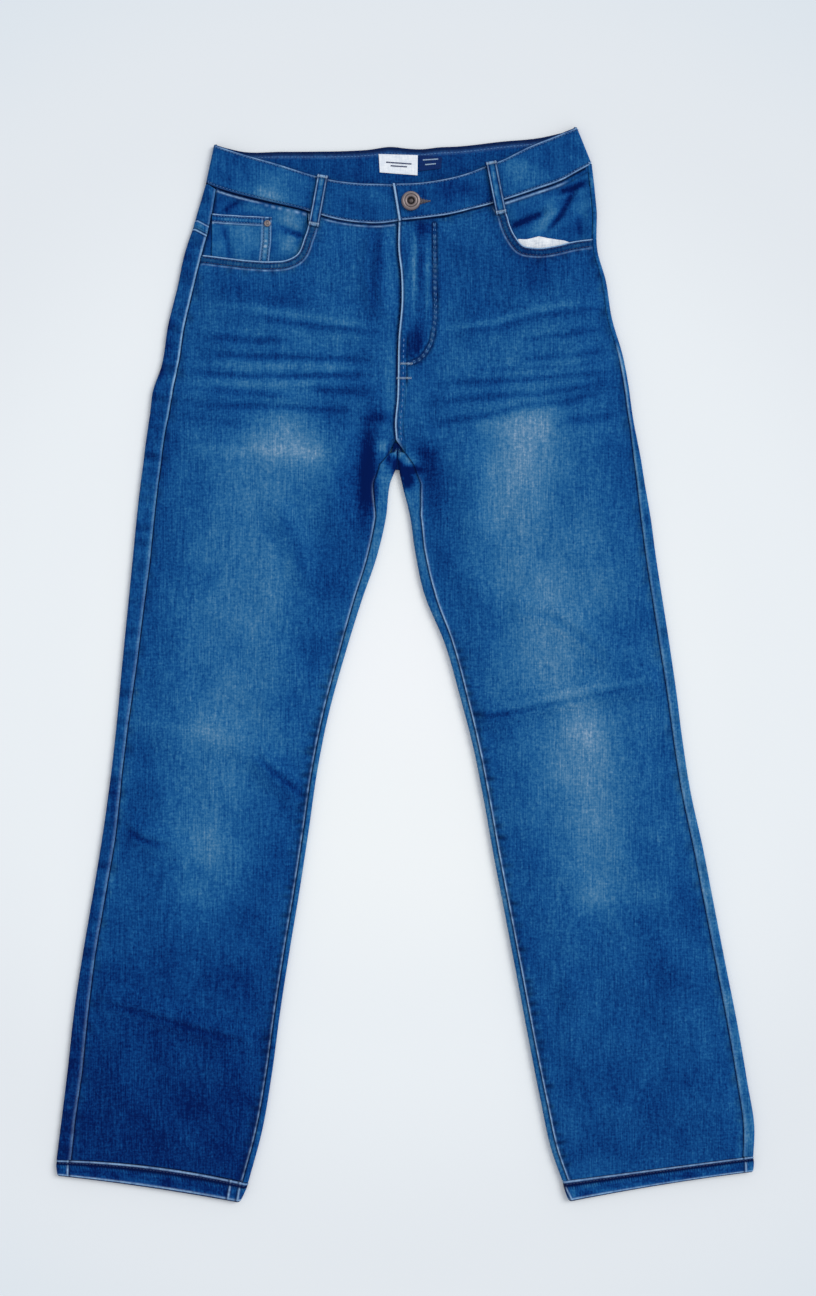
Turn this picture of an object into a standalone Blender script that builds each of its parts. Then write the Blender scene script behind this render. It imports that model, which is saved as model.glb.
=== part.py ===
"""Jeans laid flat on their back, as cloth panels with true wall thickness.

Units are metres, +Z up. X runs across the jeans and grows towards the wearer's
left leg, Y grows towards the waist, and the cloth rests on Z = 0.
All the tables below are in millimetres. A row is a section or a point.
"""

import math
from bisect import bisect_right

import bpy
from mathutils import Vector
from mathutils.geometry import delaunay_2d_cdt

MM = 0.001

# Cloth sizes
DENIM = 1.2
BAND = 2.2
HEM_WALL = 2.0
BAG_CLOTH = 0.6
LABEL_CLOTH = 0.5
LOOP_CLOTH = 1.6
GAP = 0.3
FOLD_RADIUS = 2.6
BAND_RADIUS = 2.8
HEM_RADIUS = 2.8
TOP = 2 * FOLD_RADIUS

# Spacing of the points that carry the height of a sheet
LATTICE = 12.5
FINE_LATTICE = 7.0

# Sections of each leg tube, from the yoke seam at the waist to the hem.
# outer_x, outer_y: the silhouette on the outseam side
# outseam, drop: how far the outseam lies in from the silhouette, and below it
# inner_x, inner_y: the silhouette on the inseam side, or the centre back seam
# inseam: how far the inseam lies in from the silhouette
# wrap: 0 where the inner edge lies flat as the centre back seam, 1 where it
# curls all the way up to the inseam
RIGHT_SECTIONS = [
    (-191.0, 394.5, 13.0, 5.5, -7.0, 373.0, 0.0, 0.0),
    (-199.5, 368.5, 14.5, 6.0, -7.0, 341.5, 0.0, 0.0),
    (-205.5, 340.0, 13.5, 5.0, -7.0, 314.5, 0.0, 0.0),
    (-214.0, 305.5, 14.5, 3.5, -7.0, 283.0, 0.0, 0.0),
    (-220.0, 268.5, 14.5, 2.5, -7.0, 251.5, 0.0, 0.0),
    (-228.0, 245.0, 18.0, 3.0, -7.0, 232.0, 0.0, 0.0),
    (-230.0, 228.0, 17.0, 2.5, -7.2, 218.0, 0.0, 0.3),
    (-232.5, 211.0, 16.0, 2.5, -7.5, 195.0, 0.0, 0.6),
    (-234.5, 197.0, 16.0, 2.0, -7.8, 191.0, 6.0, 1.0),
    (-236.0, 184.0, 16.0, 2.0, -8.0, 180.0, 16.0, 1.0),
    (-239.0, 161.5, 16.0, 1.5, -14.0, 162.5, 15.0, 1.0),
    (-242.5, 130.0, 16.0, 1.5, -17.5, 133.0, 9.5, 1.0),
    (-246.0, 94.0, 16.0, 1.0, -25.5, 98.5, 8.5, 1.0),
    (-250.5, 49.0, 14.5, 1.0, -40.0, 56.0, 7.0, 1.0),
    (-255.0, 4.0, 13.5, 1.0, -54.5, 9.0, 5.5, 1.0),
    (-260.5, -54.5, 10.5, 1.0, -70.5, -50.0, 4.8, 1.0),
    (-265.0, -95.0, 10.0, 1.0, -79.0, -93.0, 4.8, 1.0),
    (-273.0, -153.5, 12.0, 1.0, -87.5, -151.5, 4.8, 1.0),
    (-281.0, -203.0, 11.5, 1.0, -95.5, -204.0, 4.8, 1.0),
    (-291.0, -261.5, 11.5, 1.0, -105.0, -261.5, 4.8, 1.0),
    (-298.5, -311.0, 13.0, 1.0, -113.0, -313.5, 4.8, 1.0),
    (-304.5, -365.0, 13.5, 1.0, -120.5, -369.5, 5.0, 1.0),
    (-310.0, -410.0, 12.5, 1.0, -129.5, -421.5, 5.5, 1.0),
    (-314.5, -445.7, 13.5, 0.0, -141.5, -466.0, 5.5, 1.0),
]
LEFT_SECTIONS = [
    (172.5, 407.0, 4.0, 0.6, -6.0, 373.0, 0.0, 0.0),
    (173.0, 373.0, 4.0, 0.6, -6.0, 341.5, 0.0, 0.0),
    (180.5, 346.0, 4.0, 0.6, -6.0, 314.5, 0.0, 0.0),
    (186.0, 312.0, 4.2, 0.6, -6.0, 283.0, 0.0, 0.0),
    (196.0, 277.5, 4.2, 0.6, -6.0, 251.5, 0.0, 0.0),
    (201.0, 251.5, 4.2, 0.6, -6.0, 232.0, 0.0, 0.0),
    (203.5, 233.0, 4.2, 0.6, -6.2, 218.0, 0.0, 0.3),
    (206.5, 214.0, 4.2, 0.6, -6.5, 195.0, 0.0, 0.6),
    (209.5, 199.0, 5.5, 0.6, -6.8, 191.0, 6.0, 1.0),
    (212.0, 186.0, 6.5, 0.6, -6.5, 180.0, 14.0, 1.0),
    (215.5, 164.0, 7.0, 0.6, -3.0, 162.5, 17.0, 1.0),
    (221.0, 132.0, 9.0, 0.6, 4.0, 134.0, 9.5, 1.0),
    (225.5, 98.5, 9.0, 0.6, 8.5, 103.0, 8.5, 1.0),
    (231.0, 62.5, 9.0, 0.6, 16.5, 65.0, 9.5, 1.0),
    (238.0, 17.5, 9.0, 0.6, 35.5, 18.5, 7.0, 1.0),
    (244.5, -27.5, 8.5, 0.6, 50.0, -32.0, 6.0, 1.0),
    (249.0, -63.5, 8.0, 0.6, 60.0, -70.0, 5.0, 1.0),
    (257.0, -115.0, 8.0, 0.6, 70.5, -122.0, 4.8, 1.0),
    (268.0, -165.0, 8.5, 0.6, 79.5, -172.5, 4.8, 1.0),
    (277.5, -214.0, 8.5, 0.6, 89.5, -224.5, 4.8, 1.0),
    (288.5, -270.5, 8.5, 0.6, 100.5, -282.0, 4.8, 1.0),
    (299.0, -323.5, 9.0, 0.6, 111.0, -338.0, 4.8, 1.0),
    (308.0, -376.0, 9.0, 0.6, 122.0, -394.0, 5.2, 1.0),
    (314.5, -419.0, 10.0, 0.6, 132.0, -439.0, 5.2, 1.0),
    (313.5, -442.7, 9.5, 0.0, 141.0, -464.5, 5.2, 1.0),
]
# The same columns for the yokes, from the waistband to the yoke seam
RIGHT_YOKE = [
    (-180.2, 432.0, 9.5, 4.4, -7.0, 428.0, 0.0, 0.0),
    (-186.0, 412.0, 12.0, 5.0, -7.0, 400.0, 0.0, 0.0),
    (-191.0, 394.8, 13.0, 5.5, -7.0, 373.3, 0.0, 0.0),
]
LEFT_YOKE = [
    (168.0, 450.0, 4.0, 2.2, -6.0, 428.0, 0.0, 0.0),
    (170.5, 428.0, 4.0, 1.2, -6.0, 400.0, 0.0, 0.0),
    (172.5, 407.3, 4.0, 0.6, -6.0, 373.3, 0.0, 0.0),
]

# How far the middle of a section sags off the straight line between its ends
RIGHT_HEM_SAG = 4.5
LEFT_HEM_SAG = 0.0
RIGHT_YOKE_SAG = -1.0
LEFT_YOKE_SAG = -4.0

# Hem rings: outer x and y, inner x and y, sag, from the seam to the fold
RIGHT_HEM = [
    (-314.5, -446.2, -141.2, -467.0, 4.5),
    (-314.2, -453.0, -145.0, -475.0, 3.0),
    (-313.5, -460.5, -149.0, -484.0, 1.5),
]
LEFT_HEM = [
    (313.5, -443.0, 141.2, -464.8, 0.0),
    (313.5, -450.0, 144.0, -474.0, 1.0),
    (313.0, -457.0, 147.0, -483.0, 1.5),
]

# Waist seam of the fronts, from the outer edge to the centre front
RIGHT_WAIST_SEAM = [
    (-180.0, 432.5), (-169.0, 428.0), (-158.0, 424.5), (-122.0, 415.5),
    (-86.0, 407.0), (-68.0, 401.5), (-41.0, 397.0), (-22.0, 396.5),
    (-6.0, 398.5), (28.0, 403.0),
]
LEFT_WAIST_SEAM = [
    (168.0, 450.0), (155.0, 443.0), (142.5, 436.0), (115.0, 426.0),
    (94.0, 419.0), (76.0, 413.5), (60.0, 409.5), (39.0, 404.0),
    (18.5, 401.0), (-6.0, 398.5),
]
# Top edge of the waistband over the same stretches
RIGHT_BAND_TOP = [
    (-172.5, 468.0), (-163.0, 465.0), (-149.0, 460.5), (-117.5, 451.5),
    (-79.0, 439.5), (-66.0, 436.5), (-40.0, 433.5), (-22.0, 433.0),
    (-11.0, 432.5), (26.0, 433.0),
]
LEFT_BAND_TOP = [
    (154.5, 483.7), (146.0, 480.5), (135.0, 476.0), (111.0, 466.5),
    (87.0, 454.5), (71.0, 448.5), (57.0, 443.0), (36.0, 437.0),
    (14.0, 433.5), (-11.5, 432.5),
]
# Top edge of the back of the waistband, across from right to left
BACK_BAND_TOP = [
    (-172.5, 468.0), (-163.0, 466.0), (-148.0, 462.5), (-112.0, 462.3),
    (-79.0, 462.5), (-59.0, 462.8), (-33.0, 464.2), (-14.0, 466.7),
    (4.0, 465.0), (13.0, 464.6), (31.0, 466.4), (45.5, 467.0),
    (87.0, 471.5), (122.0, 475.0), (146.0, 480.5), (154.5, 483.7),
]

# Pocket mouths in the fronts, from the waist seam to the outseam
RIGHT_MOUTH = [
    (-87.5, 406.9), (-87.5, 394.5), (-91.0, 383.0), (-97.5, 368.5),
    (-106.5, 363.5), (-120.0, 362.0), (-141.0, 363.0), (-161.5, 365.5),
    (-183.5, 368.5),
]
LEFT_MOUTH = [
    (85.0, 416.2), (91.5, 403.5), (94.0, 394.5), (99.5, 383.5),
    (105.5, 376.5), (115.0, 374.5), (135.5, 376.5), (149.0, 380.0),
    (168.8, 383.0),
]
# Edge of the left front over the right front, from the waist seam down
FLY_EDGE = [
    (-6.2, 398.5), (-6.5, 373.0), (-4.0, 350.5), (-3.5, 328.0),
    (-6.5, 290.0), (-7.0, 260.5), (-7.5, 240.0), (-9.5, 215.0), (-8.6, 202.5),
]
UNDERLAP = 7.0
UNDERLAP_END = 294.0
FLY_WIDTH = 24.0
FLY_END = 268.0
FLY_EASE = 18.0
FLY_RISE = 1.9

# Pieces in the pocket mouths
RIGHT_FACING = [
    (-88.3, 406.2), (-88.3, 397.5), (-80.0, 394.0), (-80.0, 386.0), (-84.0, 372.0), (-92.0, 357.0),
    (-110.0, 350.0), (-141.0, 349.0), (-181.5, 353.0),
]
LEFT_FACING = [
    (86.2, 415.2), (91.0, 406.0), (83.0, 402.0), (85.0, 394.0), (90.0, 380.0), (98.0, 366.0),
    (115.0, 361.0), (135.5, 363.0), (151.0, 366.0), (166.7, 369.0),
]
COIN_POCKET = [
    (-174.0, 405.5), (-148.0, 403.8), (-120.5, 402.5), (-121.0, 380.0),
    (-124.0, 354.5), (-150.0, 353.5), (-174.5, 356.5),
]
LEFT_BAG = [
    (101.5, 383.0), (109.5, 382.8), (120.0, 385.5), (128.0, 383.8),
    (143.5, 381.5), (149.0, 379.5), (146.0, 370.5), (120.0, 366.0),
    (101.0, 369.5), (98.5, 376.0),
]
MOUTH_DEPTH = 1.5
COIN_RISE = 1.5
BAG_RISE = 0.9
# Distances over which the layers of a pocket mouth part and meet again
MOUTH_TOP_EASE = 10.0
MOUTH_SIDE_EASE = 9.0
MOUTH_HOLD = 18.0
MOUTH_EASE = 26.0

# Belt loops: the middle of the upper end, then of the lower end
LOOP_WIDTH = 10.0
RIGHT_LOOP = [(-74.3, 440.0), (-82.5, 394.0)]
LEFT_LOOP = [(76.8, 452.2), (86.0, 404.8)]

# Labels inside the back of the waistband
WHITE_LABEL = [(-24.2, 460.0), (-23.2, 443.5), (10.8, 440.8), (11.0, 459.0)]
BLUE_LABEL = [(12.2, 459.0), (12.0, 444.5), (31.8, 447.0), (33.0, 457.5)]

# Soft folds over the fronts: points x, y along each crest, then its half
# width and its height, which is below zero for a trough
FOLDS = [
    ([(-127.0, -90.0), (-113.0, -104.0), (-96.0, -117.0)], 9.0, 2.2),
    ([(-248.0, -146.0), (-230.0, -156.0), (-204.0, -164.0)], 9.0, 1.6),
    ([(-271.0, -301.0), (-239.0, -308.0), (-194.0, -322.0), (-145.0, -336.0)], 9.0, 2.0),
    ([(-240.0, -55.0), (-194.0, -61.0), (-140.0, -74.0)], 14.0, 1.2),
    ([(-111.0, 134.0), (-97.0, 106.0), (-92.0, 78.0)], 9.0, 1.6),
    ([(-36.0, 200.0), (-42.0, 175.0), (-43.0, 148.0)], 8.0, -1.4),
    ([(-56.0, 196.0), (-64.0, 168.0), (-62.0, 130.0)], 12.0, 1.6),
    ([(-26.0, 376.0), (-28.5, 350.5), (-23.0, 322.0)], 9.0, 2.4),
    ([(-168.0, 324.0), (-110.0, 316.0), (-40.0, 308.0)], 12.0, 1.4),
    ([(-190.0, 236.0), (-130.0, 240.0), (-40.0, 250.0)], 12.0, 1.2),
    ([(74.0, -46.0), (103.0, -37.0), (143.5, -29.0), (188.5, -21.0), (228.0, -15.0)], 9.0, 3.0),
    ([(80.0, -66.0), (130.0, -52.0), (190.0, -40.0)], 12.0, -1.0),
    ([(106.0, 52.0), (133.0, 44.0), (159.0, 27.0), (178.0, 10.0)], 10.0, 1.8),
    ([(60.0, 300.0), (110.0, 306.0), (160.0, 322.0)], 12.0, 1.4),
    ([(40.0, 232.0), (100.0, 240.0), (170.0, 262.0)], 12.0, 1.2),
    ([(52.0, 190.0), (60.0, 160.0), (62.0, 128.0)], 12.0, 1.5),
    ([(224.0, -262.0), (196.0, -284.0), (150.0, -296.0)], 10.0, 1.6),
    ([(292.0, -386.0), (250.0, -398.0), (190.0, -404.0)], 10.0, 1.4),
]
CROWN = 1.6
CROWN_REACH = 42.0
FOLD_REACH = 14.0

# Button and rivet: centre, then profile rows of radius and height
BUTTON_CENTRE = (4.9, 416.2)
BUTTON_PROFILE = [(8.0, 0.0), (8.75, 1.0), (8.3, 2.7), (6.6, 3.5), (4.4, 3.1), (3.2, 2.0), (1.6, 1.9)]
RIVET_CENTRE = (-124.3, 396.8)
RIVET_PROFILE = [(2.6, 0.0), (3.0, 0.5), (2.4, 1.3), (1.1, 1.2)]


def smooth(value):
    """Ease from 0 to 1 as value goes from 0 to 1."""
    value = min(max(value, 0.0), 1.0)
    return value * value * (3.0 - 2.0 * value)


def along(points, key):
    """Height of a line of (key, value) points at key, held at its ends."""
    keys = [point[0] for point in points]
    if key <= keys[0]:
        return points[0][1]
    if key >= keys[-1]:
        return points[-1][1]
    index = bisect_right(keys, key)
    low, high = points[index - 1], points[index]
    share = (key - low[0]) / (high[0] - low[0])
    return low[1] + (high[1] - low[1]) * share


def distance_to_line(point, line):
    """Distance from a point to a line of points in the plane."""
    best = 1e9
    for start, end in zip(line, line[1:]):
        run = (end[0] - start[0], end[1] - start[1])
        size = run[0] ** 2 + run[1] ** 2
        share = ((point[0] - start[0]) * run[0] + (point[1] - start[1]) * run[1]) / size
        share = min(max(share, 0.0), 1.0)
        near = (start[0] + run[0] * share, start[1] + run[1] * share)
        best = min(best, math.dist(point, near))
    return best


def seam_line(sections, side, upper):
    """Seam of one leg as rising (y, x) points: upper picks the outseam."""
    rows = []
    for outer_x, outer_y, outseam, drop, inner_x, inner_y, inseam, wrap in sections:
        if upper:
            rows.append((outer_y - drop, outer_x - side * outseam))
        elif wrap == 1.0:
            rows.append((inner_y, inner_x + side * inseam))
    return sorted(rows)


OUTSEAMS = {
    side: seam_line(yoke[:-1] + sections, side, True)
    for side, yoke, sections in ((-1, RIGHT_YOKE, RIGHT_SECTIONS), (1, LEFT_YOKE, LEFT_SECTIONS))
}
INSEAMS = {
    side: seam_line(sections, side, False)
    for side, sections in ((-1, RIGHT_SECTIONS), (1, LEFT_SECTIONS))
}
WAIST_LINE = sorted(RIGHT_WAIST_SEAM[:-1]) + sorted(LEFT_WAIST_SEAM[:-1])
FORK = 196.0
HEM_LEVEL = -483.0
HEM_SLOPE = 0.12


def edge_distance(x, y):
    """Distance from a point on the fronts to the nearest seam round them."""
    side = -1 if x < along(sorted((q, p) for p, q in FLY_EDGE), y) else 1
    outer = side * (along(OUTSEAMS[side], y) - x)
    inner = side * (x - along(INSEAMS[side], y)) + 1.6 * max(0.0, y - FORK)
    waist = along(WAIST_LINE, x) - y
    hem = y - HEM_LEVEL - HEM_SLOPE * abs(x)
    return max(0.0, min(outer, inner, waist, hem))


def cloth_top(x, y):
    """Height of the outer face of the fronts."""
    edge = edge_distance(x, y)
    height = TOP + CROWN * smooth(edge / CROWN_REACH)
    for line, width, rise in FOLDS:
        reach = distance_to_line((x, y), line) / (2.0 * width)
        if reach < 1.0:
            height += rise * (1.0 - smooth(reach)) * smooth(edge / FOLD_REACH)
    return height


def mouth_share(x, y, mouth):
    """How far the layers in a pocket mouth part: 1 in it, 0 away from it."""
    side = -1 if x < 0 else 1
    below_waist = smooth((along(WAIST_LINE, x) - y) / MOUTH_TOP_EASE)
    reach = distance_to_line((x, y), mouth[2:])
    away = 1.0 - smooth((reach - MOUTH_HOLD) / MOUTH_EASE)
    outer = smooth(side * (along(OUTSEAMS[side], y) - x) / MOUTH_SIDE_EASE)
    return below_waist * away * (0.4 + 0.6 * outer)


def inside_mouth(x, y, mouth):
    """True on the waist side of the pocket mouth."""
    rising = sorted(mouth)
    return y > along(rising, x)


def facing_top(x, y, mouth):
    """Height of a pocket facing, which sinks under the pocket mouth."""
    side = -1 if x < 0 else 1
    below_waist = smooth((along(WAIST_LINE, x) - y) / MOUTH_TOP_EASE)
    outer = smooth(side * (along(OUTSEAMS[side], y) - x) / MOUTH_SIDE_EASE)
    sink = below_waist * (0.45 + 0.55 * outer)
    if not inside_mouth(x, y, mouth):
        sink = max(sink, 0.75)
    return TOP - MOUTH_DEPTH * sink


def front_right_top(x, y):
    """Height of the right front, raised over the coin pocket's end."""
    return cloth_top(x, y) + COIN_RISE * mouth_share(x, y, RIGHT_MOUTH)


def front_left_top(x, y):
    """Height of the left front, raised on the fly band and the pocket bag."""
    fly_x = along(sorted((q, p) for p, q in FLY_EDGE), y)
    over = x - fly_x
    down = smooth((y - FLY_END) / FLY_EASE)
    fly = FLY_RISE * (1.0 - smooth((over - FLY_WIDTH) / FLY_EASE)) * down
    return cloth_top(x, y) + fly + BAG_RISE * mouth_share(x, y, LEFT_MOUTH)


def coin_top(x, y):
    """Height of the coin pocket on its facing."""
    return facing_top(x, y, RIGHT_MOUTH) + GAP + DENIM


def bag_top(x, y):
    """Height of the pocket bag that shows above the left mouth."""
    return facing_top(x, y, LEFT_MOUTH) + GAP + BAG_CLOTH


def clear_scene():
    """Remove whatever the file opened with."""
    for item in list(bpy.data.objects):
        bpy.data.objects.remove(item, do_unlink=True)


def material(name, colour, roughness, metallic=0.0):
    """Plain Principled material for one piece."""
    made = bpy.data.materials.new(name + "_finish")
    made.use_nodes = True
    shader = made.node_tree.nodes["Principled BSDF"]
    shader.inputs["Base Color"].default_value = (*colour, 1.0)
    shader.inputs["Roughness"].default_value = roughness
    shader.inputs["Metallic"].default_value = metallic
    made.diffuse_color = (*colour, 1.0)
    return made


def add_object(name, points, faces, finish):
    """Make one closed body from points in millimetres and its faces."""
    mesh = bpy.data.meshes.new(name)
    mesh.from_pydata([[value * MM for value in point] for point in points], [], faces)
    mesh.validate()
    mesh.materials.append(finish)
    made = bpy.data.objects.new(name, mesh)
    bpy.context.scene.collection.objects.link(made)
    return made


def signed_area(outline):
    """Area inside an outline, above zero where it turns left."""
    total = 0.0
    for (x0, y0), (x1, y1) in zip(outline, outline[1:] + outline[:1]):
        total += x0 * y1 - x1 * y0
    return total / 2.0


def divide_outline(outline, spacing):
    """Outline with points added so that no side is longer than spacing."""
    points = []
    for start, end in zip(outline, outline[1:] + outline[:1]):
        count = max(1, math.ceil(math.dist(start, end) / spacing))
        for step in range(count):
            share = step / count
            points.append((start[0] + (end[0] - start[0]) * share, start[1] + (end[1] - start[1]) * share))
    return points


def point_inside(point, outline):
    """True where a point lies inside an outline."""
    inside = False
    x, y = point
    for (x0, y0), (x1, y1) in zip(outline, outline[1:] + outline[:1]):
        if (y0 > y) != (y1 > y) and x < (x1 - x0) * (y - y0) / (y1 - y0) + x0:
            inside = not inside
    return inside


def sheet(name, outline, top, thickness, spacing, finish):
    """Sheet of cloth: outline in the plane, top face from a height rule."""
    if signed_area(outline) < 0.0:
        outline = outline[::-1]
    border = divide_outline(outline, spacing)
    points = list(border)
    closed = border + border[:1]
    xs = [x for x, y in border]
    ys = [y for x, y in border]
    row = 0
    y = min(ys) + spacing * 0.5
    while y < max(ys):
        x = min(xs) + spacing * (0.5 if row % 2 else 0.0)
        while x < max(xs):
            if point_inside((x, y), border) and distance_to_line((x, y), closed) > spacing * 0.45:
                points.append((x, y))
            x += spacing
        y += spacing * 0.87
        row += 1
    loop = list(range(len(border)))
    verts, edges, faces, *rest = delaunay_2d_cdt([Vector(p) for p in points], [], [loop], 1, 1e-4)
    flat = [(v.x, v.y) for v in verts]
    count = len(flat)
    solid = [(x, y, top(x, y)) for x, y in flat]
    solid += [(x, y, z - thickness) for x, y, z in solid]
    tops = []
    for face in faces:
        corners = [flat[i] for i in face]
        tops.append(list(face) if signed_area(corners) > 0.0 else list(face)[::-1])
    sides = set()
    for face in tops:
        for a, b in zip(face, face[1:] + face[:1]):
            sides.add((a, b))
    walls = [(b, a, a + count, b + count) for a, b in sides if (b, a) not in sides]
    under = [[i + count for i in face[::-1]] for face in tops]
    return add_object(name, solid, tops + under + sorted(walls), finish)


def section_points(row, side, sag, wall, radius):
    """Outer and inner face points of one section, from outseam to inseam."""
    outer_x, outer_y, outseam, drop, inner_x, inner_y, inseam, wrap = row
    arc = [180.0, 135.0, 90.0, 45.0, 0.0]
    faces = []
    for depth in (0.0, wall):
        reach = radius - depth
        points = []
        turn_x = outer_x - side * radius
        points.append((outer_x - side * (outseam - GAP / 2), outer_y - drop, radius + reach))
        for angle in arc:
            bend = math.radians(angle)
            points.append((turn_x + side * reach * math.sin(bend), outer_y, radius - reach * math.cos(bend)))
        if wrap < 1.0:
            start_x = inner_x + side * radius * math.sin(math.pi * min(wrap, 0.5))
        else:
            start_x = inner_x + side * radius
        for step in range(1, 7):
            share = step / 7
            x = turn_x + (start_x - turn_x) * share
            y = outer_y + (inner_y - outer_y) * share + sag * 4.0 * share * (1.0 - share)
            points.append((x, y, radius - reach))
        if wrap == 0.0:
            for step in range(6):
                points.append((start_x + side * (5 - step) * 0.8, inner_y, radius - reach))
        elif wrap < 1.0:
            for step in range(6):
                bend = math.radians(180.0 * wrap * step / 5)
                points.append((start_x - side * reach * math.sin(bend), inner_y, radius - reach * math.cos(bend)))
        else:
            for angle in arc[::-1]:
                bend = math.radians(angle)
                points.append((start_x - side * reach * math.sin(bend), inner_y, radius - reach * math.cos(bend)))
            points.append((inner_x + side * (inseam - GAP / 2), inner_y, radius + reach))
        faces.append(points)
    return faces


def leg_tube(name, rows, side, sags, finish):
    """Back panel of one leg, from the outseam round to the inseam."""
    sections = [section_points(row, side, sag, DENIM, FOLD_RADIUS) for row, sag in zip(rows, sags)]
    across = len(sections[0][0])
    points = []
    for outer, inner in sections:
        points += outer + inner
    stride = 2 * across
    faces = []
    for index in range(len(sections) - 1):
        near = index * stride
        far = near + stride
        for i in range(across - 1):
            faces.append((near + i, near + i + 1, far + i + 1, far + i))
            low, high = near + across + i, far + across + i
            faces.append((low + 1, low, high, high + 1))
        faces.append((near, far, far + across, near + across))
        last = across - 1
        faces.append((far + last, near + last, near + across + last, far + across + last))
    end = (len(sections) - 1) * stride
    for i in range(across - 1):
        faces.append((i + 1, i, across + i, across + i + 1))
        faces.append((end + i, end + i + 1, end + across + i + 1, end + across + i))
    if side > 0:
        faces = [face[::-1] for face in faces]
    return add_object(name, points, faces, finish)


def hem_ring(name, rows, side, finish):
    """Turned hem as a flattened ring round the end of a leg."""
    loops = []
    for outer_x, outer_y, inner_x, inner_y, sag in rows:
        for reach in (HEM_RADIUS, HEM_RADIUS - HEM_WALL):
            loop = []
            ends = ((outer_x - side * HEM_RADIUS, 0.0, side), (inner_x + side * HEM_RADIUS, 1.0, -side))
            for turn_x, share, facing in ends:
                for step in range(7):
                    bend = math.radians(30.0 * step)
                    turn = math.cos(bend) if share == 0.0 else -math.cos(bend)
                    y = outer_y if share == 0.0 else inner_y
                    loop.append((turn_x + facing * reach * math.sin(bend), y, HEM_RADIUS + reach * turn))
                for step in range(1, 8):
                    part = step / 8
                    level = 1.0 if share == 1.0 else -1.0
                    part = part if share == 0.0 else 1.0 - part
                    x = ends[0][0] + (ends[1][0] - ends[0][0]) * part
                    y = outer_y + (inner_y - outer_y) * part + sag * 4.0 * part * (1.0 - part)
                    loop.append((x, y, HEM_RADIUS + level * reach))
            loops.append(loop)
    count = len(loops[0])
    outer_loops = loops[0::2]
    inner_loops = loops[1::2]
    path = outer_loops + inner_loops[::-1]
    points = [point for loop in path for point in loop]
    faces = []
    for index in range(len(path)):
        near = index * count
        far = ((index + 1) % len(path)) * count
        for i in range(count):
            j = (i + 1) % count
            faces.append((near + i, near + j, far + j, far + i))
    if side > 0:
        faces = [face[::-1] for face in faces]
    return add_object(name, points, faces, finish)


def back_band_edge(x_share, rows, side, sag):
    """Lower edge of the back of the waistband at a share of a yoke's width."""
    outer_x, outer_y, outseam, drop, inner_x, inner_y, inseam, wrap = rows[0]
    turn_x = outer_x - side * FOLD_RADIUS
    x = turn_x + (inner_x - turn_x) * x_share
    y = outer_y + (inner_y - outer_y) * x_share + sag * 4.0 * x_share * (1.0 - x_share)
    return (x, y + GAP)


def waistband(finish):
    """Waistband as one strip, round both sides, its left end over the right."""
    stations = []
    inner_reach = BAND_RADIUS - BAND
    level = 2 * BAND_RADIUS

    def add(top_point, low_point, outside, inside):
        middle = [(a + b) / 2 for a, b in zip(top_point, low_point)]
        stations.append((top_point, middle, low_point, outside, inside))

    for top_point, low_point in list(zip(RIGHT_BAND_TOP, RIGHT_WAIST_SEAM))[::-1][:-1]:
        add(top_point, (low_point[0], low_point[1] + GAP), level, level - BAND)
    backs = []
    for x, y in BACK_BAND_TOP[1:-1]:
        if x < 0.0:
            share = (x + 180.2 - 10.0) / (180.2 - 17.0)
            backs.append(((x, y), back_band_edge(min(max(share, 0.04), 0.97), RIGHT_YOKE, -1, RIGHT_YOKE_SAG)))
        else:
            share = (160.0 - x) / (160.0 + 6.0)
            backs.append(((x, y), back_band_edge(min(max(share, 0.04), 0.97), LEFT_YOKE, 1, LEFT_YOKE_SAG)))
    for side, top_point, low_point in (
        (-1, RIGHT_BAND_TOP[0], RIGHT_WAIST_SEAM[0]),
        (1, LEFT_BAND_TOP[0], LEFT_WAIST_SEAM[0]),
    ):
        turns = []
        for step in range(7):
            bend = math.radians(30.0 * step)
            shift = side * (math.sin(bend) - 1.0)
            outer = BAND_RADIUS + BAND_RADIUS * math.cos(bend)
            inner = BAND_RADIUS + inner_reach * math.cos(bend)
            outer_x, inner_x = shift * BAND_RADIUS, side * (inner_reach * math.sin(bend) - BAND_RADIUS)
            turns.append((top_point, low_point, outer, inner, outer_x, inner_x))
        if side > 0:
            turns = turns[::-1]
        for top_point, low_point, outer, inner, outer_x, inner_x in turns:
            low = (low_point[0], low_point[1] + GAP)
            middle = [(a + b) / 2 for a, b in zip(top_point, low)]
            stations.append((top_point, middle, low, outer, inner, outer_x, inner_x))
        if side < 0:
            for top_point, low_point in backs:
                add(top_point, low_point, 0.0, BAND)
    for top_point, low_point in list(zip(LEFT_BAND_TOP, LEFT_WAIST_SEAM))[1:]:
        rise = 2.5 * (1.0 - smooth((low_point[0] - 30.0) / 30.0))
        add(top_point, (low_point[0], low_point[1] + GAP), level + rise, level - BAND + rise)
    points = []
    for station in stations:
        places, heights = station[:3], station[3:5]
        shifts = station[5:] if len(station) > 5 else (0.0, 0.0)
        for x, y in places:
            points.append((x + shifts[0], y, heights[0]))
        for x, y in places[::-1]:
            points.append((x + shifts[1], y, heights[1]))
    ring = 6
    faces = []
    for index in range(len(stations) - 1):
        near = index * ring
        far = near + ring
        for i in range(ring):
            j = (i + 1) % ring
            faces.append((near + j, near + i, far + i, far + j))
    end = (len(stations) - 1) * ring
    faces.append((1, 4, 5, 0))
    faces.append((2, 3, 4, 1))
    faces.append((end + 5, end + 4, end + 1, end))
    faces.append((end + 4, end + 3, end + 2, end + 1))
    return add_object("waistband", points, faces, finish)


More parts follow.
